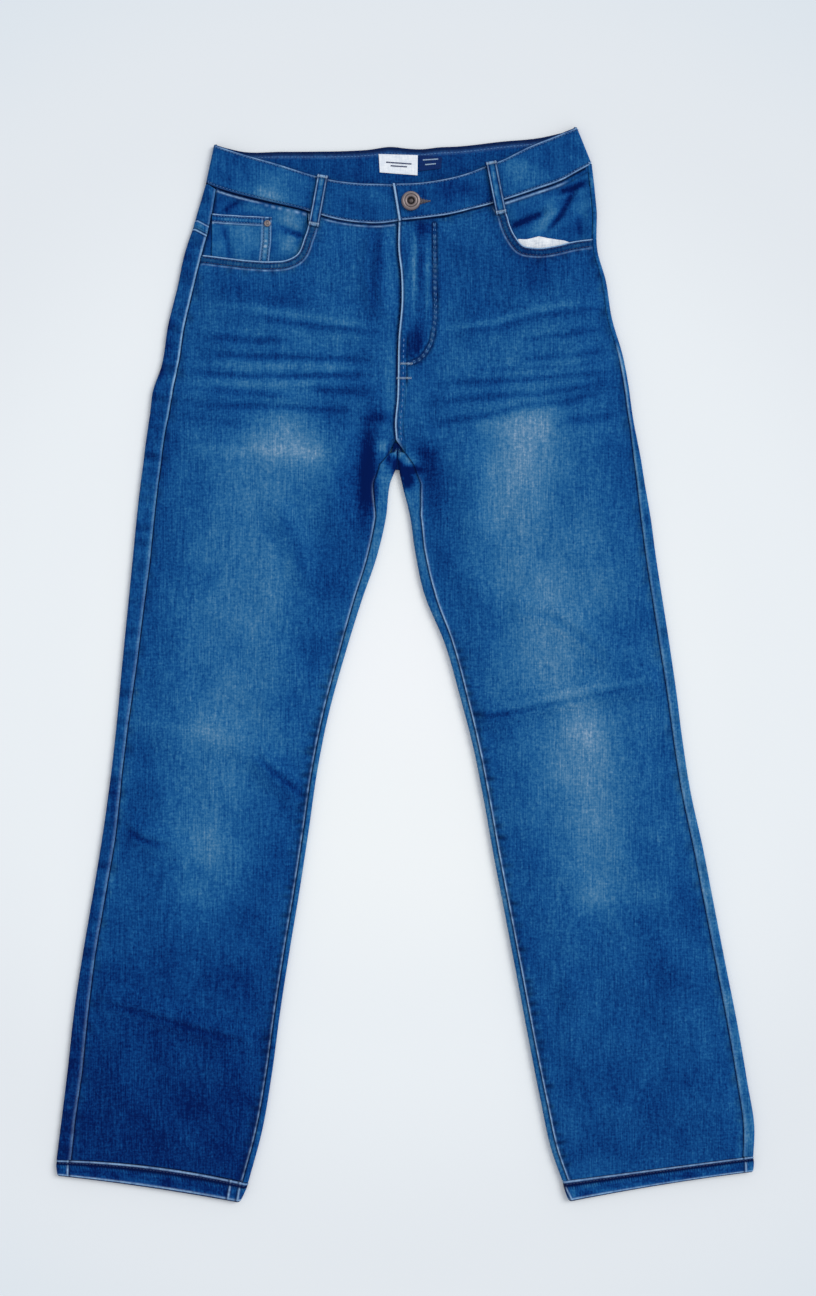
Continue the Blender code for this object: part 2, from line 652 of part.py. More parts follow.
def belt_loop(name, ends, seat_upper, seat_lower, finish):
    """Folded belt loop: an arched strip with its ends turned under."""
    upper, lower = Vector(ends[0]), Vector(ends[1])
    run = (lower - upper).normalized()
    cross = Vector((-run.y, run.x))
    if cross.x < 0.0:
        cross = -cross
    length = (lower - upper).length
    stations = [0.0, 2.0, 6.0, 14.0, length / 2, length - 14.0, length - 6.0, length - 2.0, length]
    points = []
    across = [-0.5, -0.2, 0.2, 0.5]
    for place in stations:
        share = place / length
        seat = seat_upper + (seat_lower - seat_upper) * smooth((share - 0.55) / 0.3)
        lift = 0.9 * math.sin(math.pi * share) ** 0.5 if 0.0 < share < 1.0 else 0.0
        centre = upper + run * place
        for offset in across:
            at = centre + cross * (offset * LOOP_WIDTH)
            bulge = 0.4 if abs(offset) < 0.4 else 0.0
            points.append((at.x, at.y, seat + lift + LOOP_CLOTH + bulge))
        for offset in across[::-1]:
            at = centre + cross * (offset * LOOP_WIDTH)
            points.append((at.x, at.y, seat + lift))
    ring = 8
    faces = []
    for index in range(len(stations) - 1):
        near = index * ring
        far = near + ring
        for i in range(ring):
            j = (i + 1) % ring
            faces.append((near + j, near + i, far + i, far + j))
    end = (len(stations) - 1) * ring
    for i in range(3):
        faces.append((i, i + 1, 6 - i, 7 - i))
        faces.append((end + i + 1, end + i, end + 7 - i, end + 6 - i))
    return add_object(name, points, faces, finish)


def turned(name, centre, base, profile, count, finish):
    """Round metal piece turned from rows of radius and height."""
    points = []
    for radius, height in profile:
        for step in range(count):
            angle = 2.0 * math.pi * step / count
            points.append((
                centre[0] + radius * math.cos(angle),
                centre[1] + radius * math.sin(angle),
                base + height,
            ))
    faces = []
    for row in range(len(profile) - 1):
        for step in range(count):
            after = (step + 1) % count
            low, high = row * count, (row + 1) * count
            faces.append((low + step, low + after, high + after, high + step))
    last = (len(profile) - 1) * count
    faces.append([last + step for step in range(count)])
    faces.append([step for step in reversed(range(count))])
    return add_object(name, points, faces, finish)


def front_outline(side, sections, mouth, waist, hem_row, sag):
    """Outline of one front: waist, fly edge, inseam, hem, outseam, mouth."""
    outline = []
    mouth_x = abs(mouth[0][0])
    for x, y in waist:
        if side * x < mouth_x - 1.0 and (side > 0 or x < -7.0):
            outline.append((x, y))
    if side > 0:
        outline += FLY_EDGE[1:]
    else:
        outline.append((FLY_EDGE[0][0] + UNDERLAP, 398.8))
        for x, y in FLY_EDGE[1:]:
            if y > UNDERLAP_END:
                outline.append((x + UNDERLAP, y))
        outline.append((FLY_EDGE[4][0] + UNDERLAP, UNDERLAP_END))
        outline.append((-7.2 - GAP, UNDERLAP_END - 6.0))
        for x, y in FLY_EDGE:
            if y < UNDERLAP_END - 8.0:
                outline.append((x - GAP, y))
    for row in sections:
        if row[7] == 1.0:
            outline.append((row[4] + side * (row[6] + GAP / 2), row[5]))
    outline.pop()
    outer_x, outer_y, outseam, drop, inner_x, inner_y, inseam, wrap = hem_row
    start_x = inner_x + side * (inseam + GAP / 2)
    end_x = outer_x - side * (outseam + GAP / 2)
    left_x, right_x = outer_x - side * FOLD_RADIUS, inner_x + side * FOLD_RADIUS
    for step in range(9):
        x = start_x + (end_x - start_x) * step / 8
        share = (x - left_x) / (right_x - left_x)
        y = outer_y + (inner_y - outer_y) * share + sag * 4.0 * share * (1.0 - share)
        outline.append((x, y))
    for row in sections[-2::-1]:
        x = row[0] - side * (row[2] + GAP / 2)
        if row[1] - row[3] < mouth[-1][1] - 6.0:
            outline.append((x, row[1] - row[3]))
    outline += mouth[::-1]
    return outline


def facing_outline(side, lower, waist, mouth):
    """Outline of a pocket facing from its lower edge and the seams."""
    reach = abs(lower[0][0])
    top = [(x, y - 0.4) for x, y in waist[1:] if side * x > reach + 1.0]
    seam = []
    for y, x in OUTSEAMS[side]:
        if lower[-1][1] + 2.0 < y < top[0][1] - 6.0:
            seam.append((x - side * GAP, y))
    corner_y = top[0][1] - 1.2
    corner = (along(OUTSEAMS[side], corner_y) - side * GAP, corner_y)
    top = [point for point in top if side * point[0] < side * corner[0] - 2.0]
    return lower + seam + [corner] + top


def build():
    """Make every piece of the jeans."""
    clear_scene()
    denim = {
        name: material(name, colour, 0.85)
        for name, colour in (
            ("front_right", (0.06, 0.17, 0.36)), ("front_left", (0.06, 0.16, 0.35)),
            ("back_right", (0.04, 0.12, 0.28)), ("back_left", (0.04, 0.12, 0.28)),
            ("yoke_right", (0.04, 0.11, 0.26)), ("yoke_left", (0.04, 0.11, 0.26)),
            ("waistband", (0.03, 0.09, 0.24)), ("facing_right", (0.02, 0.08, 0.25)),
            ("facing_left", (0.02, 0.08, 0.25)), ("coin_pocket", (0.03, 0.12, 0.32)),
            ("loop_right", (0.03, 0.1, 0.27)), ("loop_left", (0.03, 0.1, 0.27)),
            ("hem_right", (0.01, 0.03, 0.09)), ("hem_left", (0.01, 0.03, 0.09)),
        )
    }
    white = material("pocket_bag", (0.72, 0.78, 0.84), 0.9)
    white_weave = material("label_white", (0.7, 0.76, 0.84), 0.7)
    blue_weave = material("label_blue", (0.01, 0.02, 0.08), 0.7)
    metal = material("button", (0.06, 0.05, 0.05), 0.45, 0.9)
    copper = material("rivet", (0.1, 0.06, 0.04), 0.45, 0.9)

    flat = [0.0] * 40
    sets = (
        (-1, "right", RIGHT_SECTIONS, RIGHT_YOKE, RIGHT_HEM, RIGHT_HEM_SAG, RIGHT_YOKE_SAG),
        (1, "left", LEFT_SECTIONS, LEFT_YOKE, LEFT_HEM, LEFT_HEM_SAG, LEFT_YOKE_SAG),
    )
    for side, word, sections, yoke, hem, hem_sag, yoke_sag in sets:
        sags = flat[:len(sections) - 1] + [hem_sag]
        leg_tube("back_" + word, sections, side, sags, denim["back_" + word])
        leg_tube("yoke_" + word, yoke, side, [yoke_sag, yoke_sag / 2, 0.0], denim["yoke_" + word])
        hem_ring("hem_" + word, hem, side, denim["hem_" + word])

    right = front_outline(
        -1, RIGHT_SECTIONS, RIGHT_MOUTH, RIGHT_WAIST_SEAM, RIGHT_SECTIONS[-1], RIGHT_HEM_SAG)
    left = front_outline(
        1, LEFT_SECTIONS, LEFT_MOUTH, LEFT_WAIST_SEAM, LEFT_SECTIONS[-1], LEFT_HEM_SAG)
    sheet("front_right", right, front_right_top, DENIM, LATTICE, denim["front_right"])
    sheet("front_left", left, front_left_top, DENIM, LATTICE, denim["front_left"])

    facing = facing_outline(-1, RIGHT_FACING, RIGHT_WAIST_SEAM, RIGHT_MOUTH)
    sheet("pocket_facing_right", facing, lambda x, y: facing_top(x, y, RIGHT_MOUTH),
          DENIM, FINE_LATTICE, denim["facing_right"])
    facing = facing_outline(1, LEFT_FACING, LEFT_WAIST_SEAM, LEFT_MOUTH)
    sheet("pocket_facing_left", facing, lambda x, y: facing_top(x, y, LEFT_MOUTH),
          DENIM, FINE_LATTICE, denim["facing_left"])
    sheet("coin_pocket", COIN_POCKET, coin_top, DENIM, FINE_LATTICE, denim["coin_pocket"])
    sheet("pocket_bag_left", LEFT_BAG, bag_top, BAG_CLOTH, FINE_LATTICE, white)

    waistband(denim["waistband"])
    band_top = 2 * BAND_RADIUS
    belt_loop("belt_loop_front_right", RIGHT_LOOP, band_top + GAP, band_top + 1.9, denim["loop_right"])
    belt_loop("belt_loop_front_left", LEFT_LOOP, band_top + GAP, band_top + 1.9, denim["loop_left"])
    label_top = BAND + GAP + LABEL_CLOTH
    sheet("label_white", WHITE_LABEL, lambda x, y: label_top, LABEL_CLOTH, 20.0, white_weave)
    sheet("label_blue", BLUE_LABEL, lambda x, y: label_top, LABEL_CLOTH, 20.0, blue_weave)
    turned("button", BUTTON_CENTRE, band_top + 2.5 + GAP, BUTTON_PROFILE, 28, metal)
    turned("coin_rivet", RIVET_CENTRE, TOP + GAP, RIVET_PROFILE, 16, copper)


build()
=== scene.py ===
"""Washed stretch-denim jeans lying flat, front up, on a pale floor.

The CAD frame gives the solids. Every cloth piece here is a fine shell on its
solid's form, with its own creases, wear and stitching. All the tables are in
millimetres, in the frame's axes: X across, Y up to the waist, Z off the floor.
"""

from __future__ import annotations

import logging
import math
from dataclasses import dataclass, field
from enum import Enum

import bpy
import numpy as np
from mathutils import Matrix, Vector
from mathutils.geometry import delaunay_2d_cdt

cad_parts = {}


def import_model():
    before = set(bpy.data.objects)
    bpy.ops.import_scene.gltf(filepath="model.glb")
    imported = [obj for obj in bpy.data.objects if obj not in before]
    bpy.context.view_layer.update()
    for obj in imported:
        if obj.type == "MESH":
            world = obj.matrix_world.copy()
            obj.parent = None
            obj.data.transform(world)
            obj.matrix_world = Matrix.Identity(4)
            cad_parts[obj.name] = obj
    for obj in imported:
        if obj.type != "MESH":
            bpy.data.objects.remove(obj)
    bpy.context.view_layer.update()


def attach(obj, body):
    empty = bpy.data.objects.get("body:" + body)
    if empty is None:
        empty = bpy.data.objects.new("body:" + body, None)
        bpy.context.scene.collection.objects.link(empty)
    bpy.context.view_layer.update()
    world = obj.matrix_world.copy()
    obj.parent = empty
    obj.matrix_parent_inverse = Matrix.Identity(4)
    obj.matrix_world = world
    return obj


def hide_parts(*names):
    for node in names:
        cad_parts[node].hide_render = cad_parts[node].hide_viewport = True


LOG = logging.getLogger("jeans")
MM = 0.001
Array = np.ndarray
Line = list[tuple[float, float]]
Socket = bpy.types.NodeSocket

# Cloth sizes, the same as the solids have
DENIM = 1.2
BAND = 2.2
HEM_WALL = 2.0
GAP = 0.3
FOLD_RADIUS = 2.6
BAND_RADIUS = 2.8
HEM_RADIUS = 2.8
TOP = 2 * FOLD_RADIUS
BAND_TOP = 2 * BAND_RADIUS
# The band's left end lies this much higher, on the right end
LAP_RISE = 2.5
BAG = 0.6
LABEL = 0.5
LABEL_TOP = BAND + GAP + LABEL
# Points round each bend and along each face of a hem
HEM_BEND, HEM_FACE = 11, 260
FAR = 1e6


class Side(Enum):
    """The wearer's leg, with the sign of X on which it lies."""

    RIGHT = -1
    LEFT = 1


class Thread(Enum):
    """Sewing threads by their sRGB colour."""

    NAVY = "#0b2657"
    BLUE = "#3a6da6"
    PALE = "#8fa9c4"
    COPPER = "#565059"


# ---- Small helpers ----


def linear(colour: str) -> tuple[float, float, float, float]:
    """Turn an sRGB hex colour into linear values with alpha 1.

    Args:
        colour: hex colour such as "#1c588f".

    Returns:
        Linear red, green, blue and 1.
    """
    parts = [int(colour[i:i + 2], 16) / 255.0 for i in (1, 3, 5)]
    light = [c / 12.92 if c <= 0.04045 else ((c + 0.055) / 1.055) ** 2.4 for c in parts]
    return light[0], light[1], light[2], 1.0


def smooth(value: Array | float) -> Array:
    """Ease from 0 to 1 as value goes from 0 to 1."""
    share = np.clip(value, 0.0, 1.0)
    return share * share * (3.0 - 2.0 * share)


def bell(value: Array, middle: float, width: float, power: float = 2.0) -> Array:
    """Bell curve that is 1 at the middle; a higher even power flattens its top."""
    return np.exp(-(((value - middle) / width) ** power))


def run_length(points: Array) -> Array:
    """Place of each point along a line, from 0."""
    return np.concatenate([[0.0], np.cumsum(np.hypot(*np.diff(points[:, :2], axis=0).T))])


def mesh_values(tone: Array, worn: Array, dark: Array) -> dict[str, Array]:
    """Attributes of a mesh, with worn and dark kept between 0 and 1."""
    return {"tone": tone.ravel(), "worn": np.clip(worn, 0, 1).ravel(), "dark": np.clip(dark, 0, 1).ravel()}


def along(points: Line, key: Array | float) -> Array:
    """Read a line of rising (key, value) points at key."""
    table = np.array(sorted(points))
    return np.interp(key, table[:, 0], table[:, 1])


def resample(rows: Array, steps: Array, spacing: float) -> Array:
    """Put a smooth curve through rows of columns and read it evenly.

    Args:
        rows: one row a knot, one column a value.
        steps: the knots' places along the curve, rising.
        spacing: distance between the rows that come back.

    Returns:
        Rows read every spacing along the curve, both ends included.
    """
    slopes = np.zeros_like(rows)
    gaps = np.diff(steps)[:, None]
    runs = np.diff(rows, axis=0) / gaps
    slopes[0], slopes[-1] = runs[0], runs[-1]
    if len(rows) > 2:
        slopes[1:-1] = (runs[:-1] * gaps[1:] + runs[1:] * gaps[:-1]) / (gaps[1:] + gaps[:-1])
    count = max(2, int(math.ceil((steps[-1] - steps[0]) / spacing)) + 1)
    wanted = np.linspace(steps[0], steps[-1], count)
    index = np.clip(np.searchsorted(steps, wanted, side="right") - 1, 0, len(steps) - 2)
    width = gaps[index]
    t = ((wanted - steps[index])[:, None]) / width
    start, end = rows[index], rows[index + 1]
    ease_in, ease_out = slopes[index] * width, slopes[index + 1] * width
    return (
        (2 * t**3 - 3 * t**2 + 1) * start + (t**3 - 2 * t**2 + t) * ease_in
        + (3 * t**2 - 2 * t**3) * end + (t**3 - t**2) * ease_out
    )


def curve(points: Line | Array, spacing: float = 2.0) -> Array:
    """Smooth line through points, read every spacing millimetres."""
    rows = np.array(points, dtype=float)
    return resample(rows, run_length(rows), spacing)


def near_line(x: Array, y: Array, line: Array | Line, reach: float = FAR) -> tuple[Array, Array, Array]:
    """Measure points against a line in the plane.

    Args:
        x: the points' X.
        y: the points' Y.
        line: points of the line.
        reach: points farther off than this need no true distance.

    Returns:
        Distance, distance with a sign (left of the line is above zero), and
        the place along the line.
    """
    best, signed = np.full(np.shape(x), FAR), np.full(np.shape(x), FAR)
    place = np.zeros(np.shape(x))
    points = np.asarray(line, dtype=float)[:, :2]
    runs = run_length(points)
    for first in range(0, len(points) - 1, 12):
        part = points[first:first + 13]
        low, high = part.min(0) - reach, part.max(0) + reach
        near = (x > low[0]) & (x < high[0]) & (y > low[1]) & (y < high[1])
        if not near.any():
            continue
        px, py = x[near], y[near]
        away_now, signed_now, place_now = best[near], signed[near], place[near]
        for index in range(len(part) - 1):
            (x0, y0), (dx, dy) = part[index], part[index + 1] - part[index]
            size = max(math.hypot(dx, dy), 1e-9)
            t = np.clip(((px - x0) * dx + (py - y0) * dy) / (size * size), 0.0, 1.0)
            away = np.hypot(px - x0 - dx * t, py - y0 - dy * t)
            nearer = away < away_now
            turn = np.sign(dx * (py - y0) - dy * (px - x0))
            away_now = np.where(nearer, away, away_now)
            signed_now = np.where(nearer, turn * away, signed_now)
            place_now = np.where(nearer, runs[first + index] + t * size, place_now)
        best[near], signed[near], place[near] = away_now, signed_now, place_now
    return best, signed, place


def inside(x: Array, y: Array, loop: Array) -> Array:
    """True where a point lies inside a closed outline."""
    within = np.zeros(np.shape(x), dtype=bool)
    for (x0, y0), (x1, y1) in zip(loop, np.roll(loop, -1, axis=0)):
        if y0 != y1:
            crosses = (y0 > y) != (y1 > y)
            within ^= crosses & (x < (x1 - x0) * (y - y0) / (y1 - y0) + x0)
    return within


def ripple(x: Array, y: Array, seed: int, shortest: float, longest: float) -> Array:
    """Gentle uneven waves, made of a few sines with a fixed seed.

    Args:
        x: the points' X in millimetres.
        y: the points' Y in millimetres.
        seed: fixed seed of the directions and phases.
        shortest: shortest wave in millimetres.
        longest: longest wave in millimetres.

    Returns:
        Values of about -1 to 1.
    """
    draw = np.random.default_rng(seed)
    total = np.zeros(np.shape(x))
    count = 7
    for _ in range(count):
        wave = draw.uniform(shortest, longest)
        turn = draw.uniform(0.0, 2 * math.pi)
        total = total + np.sin(
            2 * math.pi * (x * math.cos(turn) + y * math.sin(turn)) / wave + draw.uniform(0.0, 6.3)
        )
    return total / math.sqrt(count) / 1.4


# ---- Tables of the pattern, as in the solids ----

# outer x, outer y, outseam, drop, inner x, inner y, inseam, wrap
RIGHT_SECTIONS = [
    (-191, 394.5, 13, 5.5, -7, 373, 0, 0), (-199.5, 368.5, 14.5, 6, -7, 341.5, 0, 0),
    (-205.5, 340, 13.5, 5, -7, 314.5, 0, 0), (-214, 305.5, 14.5, 3.5, -7, 283, 0, 0),
    (-220, 268.5, 14.5, 2.5, -7, 251.5, 0, 0), (-228, 245, 18, 3, -7, 232, 0, 0),
    (-230, 228, 17, 2.5, -7.2, 218, 0, 0.3), (-232.5, 211, 16, 2.5, -7.5, 195, 0, 0.6),
    (-234.5, 197, 16, 2, -7.8, 191, 6, 1), (-236, 184, 16, 2, -8, 180, 16, 1),
    (-239, 161.5, 16, 1.5, -14, 162.5, 15, 1), (-242.5, 130, 16, 1.5, -17.5, 133, 9.5, 1),
    (-246, 94, 16, 1, -25.5, 98.5, 8.5, 1), (-250.5, 49, 14.5, 1, -40, 56, 7, 1),
    (-255, 4, 13.5, 1, -54.5, 9, 5.5, 1), (-260.5, -54.5, 10.5, 1, -70.5, -50, 4.8, 1),
    (-265, -95, 10, 1, -79, -93, 4.8, 1), (-273, -153.5, 12, 1, -87.5, -151.5, 4.8, 1),
    (-281, -203, 11.5, 1, -95.5, -204, 4.8, 1), (-291, -261.5, 11.5, 1, -105, -261.5, 4.8, 1),
    (-298.5, -311, 13, 1, -113, -313.5, 4.8, 1), (-304.5, -365, 13.5, 1, -120.5, -369.5, 5, 1),
    (-310, -410, 12.5, 1, -129.5, -421.5, 5.5, 1), (-314.5, -445.7, 13.5, 0, -141.5, -466, 5.5, 1),
]
LEFT_SECTIONS = [
    (172.5, 407, 4, 0.6, -6, 373, 0, 0), (173, 373, 4, 0.6, -6, 341.5, 0, 0),
    (180.5, 346, 4, 0.6, -6, 314.5, 0, 0), (186, 312, 4.2, 0.6, -6, 283, 0, 0),
    (196, 277.5, 4.2, 0.6, -6, 251.5, 0, 0), (201, 251.5, 4.2, 0.6, -6, 232, 0, 0),
    (203.5, 233, 4.2, 0.6, -6.2, 218, 0, 0.3), (206.5, 214, 4.2, 0.6, -6.5, 195, 0, 0.6),
    (209.5, 199, 5.5, 0.6, -6.8, 191, 6, 1), (212, 186, 6.5, 0.6, -6.5, 180, 14, 1),
    (215.5, 164, 7, 0.6, -3, 162.5, 17, 1), (221, 132, 9, 0.6, 4, 134, 9.5, 1),
    (225.5, 98.5, 9, 0.6, 8.5, 103, 8.5, 1), (231, 62.5, 9, 0.6, 16.5, 65, 9.5, 1),
    (238, 17.5, 9, 0.6, 35.5, 18.5, 7, 1), (244.5, -27.5, 8.5, 0.6, 50, -32, 6, 1),
    (249, -63.5, 8, 0.6, 60, -70, 5, 1), (257, -115, 8, 0.6, 70.5, -122, 4.8, 1),
    (268, -165, 8.5, 0.6, 79.5, -172.5, 4.8, 1), (277.5, -214, 8.5, 0.6, 89.5, -224.5, 4.8, 1),
    (288.5, -270.5, 8.5, 0.6, 100.5, -282, 4.8, 1), (299, -323.5, 9, 0.6, 111, -338, 4.8, 1),
    (308, -376, 9, 0.6, 122, -394, 5.2, 1), (314.5, -419, 10, 0.6, 132, -439, 5.2, 1),
    (313.5, -442.7, 9.5, 0, 141, -464.5, 5.2, 1),
]
RIGHT_YOKE = [
    (-180.2, 432, 9.5, 4.4, -7, 428, 0, 0), (-186, 412, 12, 5, -7, 400, 0, 0),
    (-191, 394.8, 13, 5.5, -7, 373.3, 0, 0),
]
LEFT_YOKE = [
    (168, 450, 4, 2.2, -6, 428, 0, 0), (170.5, 428, 4, 1.2, -6, 400, 0, 0),
    (172.5, 407.3, 4, 0.6, -6, 373.3, 0, 0),
]
# outer x, outer y, inner x, inner y, sag
RIGHT_HEM = [
    (-314.5, -446.2, -141.2, -467, 4.5), (-314.2, -453, -145, -475, 3), (-313.5, -460.5, -149, -484, 1.5),
]
LEFT_HEM = [
    (313.5, -443, 141.2, -464.8, 0), (313.5, -450, 144, -474, 1), (313, -457, 147, -483, 1.5),
]
RIGHT_WAIST_SEAM = [
    (-180, 432.5), (-169, 428), (-158, 424.5), (-122, 415.5), (-86, 407), (-68, 401.5), (-41, 397),
    (-22, 396.5), (-6, 398.5), (28, 403),
]
LEFT_WAIST_SEAM = [
    (168, 450), (155, 443), (142.5, 436), (115, 426), (94, 419), (76, 413.5), (60, 409.5), (39, 404),
    (18.5, 401), (-6, 398.5),
]
RIGHT_BAND_TOP = [
    (-172.5, 468), (-163, 465), (-149, 460.5), (-117.5, 451.5), (-79, 439.5), (-66, 436.5), (-40, 433.5),
    (-22, 433), (-11, 432.5), (26, 433),
]
LEFT_BAND_TOP = [
    (154.5, 483.7), (146, 480.5), (135, 476), (111, 466.5), (87, 454.5), (71, 448.5), (57, 443), (36, 437),
    (14, 433.5), (-11.5, 432.5),
]
BACK_BAND_TOP = [
    (-172.5, 468), (-163, 466), (-148, 462.5), (-112, 462.3), (-79, 462.5), (-59, 462.8), (-33, 464.2),
    (-14, 466.7), (4, 465), (13, 464.6), (31, 466.4), (45.5, 467), (87, 471.5), (122, 475), (146, 480.5),
    (154.5, 483.7),
]
RIGHT_MOUTH = [
    (-87.5, 406.9), (-87.5, 394.5), (-91, 383), (-97.5, 368.5), (-106.5, 363.5), (-120, 362), (-141, 363),
    (-161.5, 365.5), (-183.5, 368.5),
]
LEFT_MOUTH = [
    (85, 416.2), (91.5, 403.5), (94, 394.5), (99.5, 383.5), (105.5, 376.5), (115, 374.5), (135.5, 376.5),
    (149, 380), (168.8, 383),
]
FLY_EDGE = [
    (-6.2, 398.5), (-6.5, 373), (-4, 350.5), (-3.5, 328), (-6.5, 290), (-7, 260.5), (-7.5, 240),
    (-9.5, 215), (-8.6, 202.5),
]
FLY_STITCH = [
    (26, 396), (26.4, 345), (26, 306), (21.5, 286), (12, 274), (2.5, 270.5),
]
RIGHT_FACING = [
    (-88.3, 406.2), (-88.3, 397.5), (-80, 394), (-80, 386), (-84, 372), (-92, 357), (-110, 350),
    (-141, 349), (-181.5, 353),
]
LEFT_FACING = [
    (86.2, 415.2), (91, 406), (83, 402), (85, 394), (90, 380), (98, 366), (115, 361), (135.5, 363),
    (151, 366), (166.7, 369),
]
COIN_POCKET = [
    (-174, 405.5), (-148, 403.8), (-120.5, 402.5), (-121, 380), (-124, 354.5), (-150, 353.5),
    (-174.5, 356.5),
]
LEFT_BAG = [
    (101.5, 383), (109.5, 382.8), (120, 385.5), (128, 383.8), (143.5, 381.5), (149, 379.5), (146, 370.5),
    (120, 366), (101, 369.5), (98.5, 376),
]
RIGHT_LOOP = [(-74.3, 440.0), (-82.5, 394.0)]
LEFT_LOOP = [(76.8, 452.2), (86.0, 404.8)]
WHITE_LABEL = [(-24.2, 460.0), (-23.2, 443.5), (10.8, 440.8), (11.0, 459.0)]
BLUE_LABEL = [(12.2, 459.0), (12.0, 444.5), (31.8, 447.0), (33.0, 457.5)]
UNDERLAP = 7.0
UNDERLAP_END = 294.0
FORK = 196.0


@dataclass(frozen=True)
class Fold:
    """One crease or soft fold: its crest, half width, height and sharper side."""

    points: tuple[tuple[float, float], ...]
    width: float
    rise: float
    lean: float = 0.0

    def height(self, x: Array, y: Array) -> Array:
        """Height that the fold adds at points.

        Args:
            x: the points' X.
            y: the points' Y.

        Returns:
            Millimetres above or below the cloth.
        """
        away, signed, _ = near_line(x, y, self.points, 2.0 * self.width * (1.0 + abs(self.lean)) + 1.0)
        width = self.width * (1.0 + self.lean * np.sign(signed))
        return self.rise * (1.0 - smooth(away / (2.0 * width)))


def folds(*rows: tuple) -> list[Fold]:
    """Folds from rows of half width, height, lean and the crest's points."""
    return [Fold(tuple(points), width, rise, lean) for width, rise, lean, *points in rows]


# The folds that the solids have
MAIN_FOLDS = folds(
    (9, 2.2, 0, (-127, -90), (-113, -104), (-96, -117)),
    (9, 1.6, 0, (-248, -146), (-230, -156), (-204, -164)),
    (9, 2, 0, (-271, -301), (-239, -308), (-194, -322), (-145, -336)),
    (14, 1.2, 0, (-240, -55), (-194, -61), (-140, -74)), (9, 1.6, 0, (-111, 134), (-97, 106), (-92, 78)),
    (8, -1.4, 0, (-36, 200), (-42, 175), (-43, 148)), (12, 1.6, 0, (-56, 196), (-64, 168), (-62, 130)),
    (9, 2.4, 0, (-26, 376), (-28.5, 350.5), (-23, 322)), (12, 1.4, 0, (-168, 324), (-110, 316), (-40, 308)),
    (12, 1.2, 0, (-190, 236), (-130, 240), (-40, 250)),
    (9, 3, 0, (74, -46), (103, -37), (143.5, -29), (188.5, -21), (228, -15)),
    (12, -1, 0, (80, -66), (130, -52), (190, -40)),
    (10, 1.8, 0, (106, 52), (133, 44), (159, 27), (178, 10)),
    (12, 1.4, 0, (60, 300), (110, 306), (160, 322)), (12, 1.2, 0, (40, 232), (100, 240), (170, 262)),
    (12, 1.5, 0, (52, 190), (60, 160), (62, 128)), (10, 1.6, 0, (224, -262), (196, -284), (150, -296)),
    (10, 1.4, 0, (292, -386), (250, -398), (190, -404)),
)
# Finer creases that only show from near
FINE_CREASES = folds(
    (2.2, -1.1, 0.4, (-132, -84), (-116, -99), (-98, -113), (-88, -121)),
    (2.2, -1, 0.4, (-252, -148), (-236, -158), (-216, -163)),
    (2.4, -0.9, 0.3, (-277, -303), (-245, -311), (-205, -323), (-150, -339)),
    (6, 0.7, 0, (-212, -352), (-180, -360), (-150, -376)),
    (1.8, -0.5, -0.2, (67, -50), (92, -44), (121, -38), (160, -30), (212, -20)),
    (3, -0.7, 0.3, (108, 48), (130, 43), (156, 26), (176, 8)),
    (3.5, -1.2, 0.3, (-27, 384), (-33, 356), (-27, 326)),
    (3, -0.5, 0, (-160, 291), (-131, 290), (-102, 291)), (3, -0.5, 0, (-168, 279), (-110, 275), (-33, 273)),
    (3, -0.5, 0, (-175, 261), (-110, 259), (-33, 258)), (3, -0.45, 0, (-180, 249), (-110, 246), (-33, 244)),
    (3.5, -0.5, 0, (-198, 235), (-145, 233), (-95, 231)), (3, -0.5, 0, (57, 268), (114, 274), (183, 298)),
    (3, -0.5, 0, (26, 248), (106, 259), (190, 278)), (3, -0.45, 0, (14, 230), (90, 240), (192, 265)),
    (3, -0.4, 0, (26, 214), (108, 222), (194, 249)), (7, 0.6, 0, (96, -170), (120, -186), (150, -192)),
    (9, 0.6, 0, (150, -330), (190, -340), (240, -344)),
)


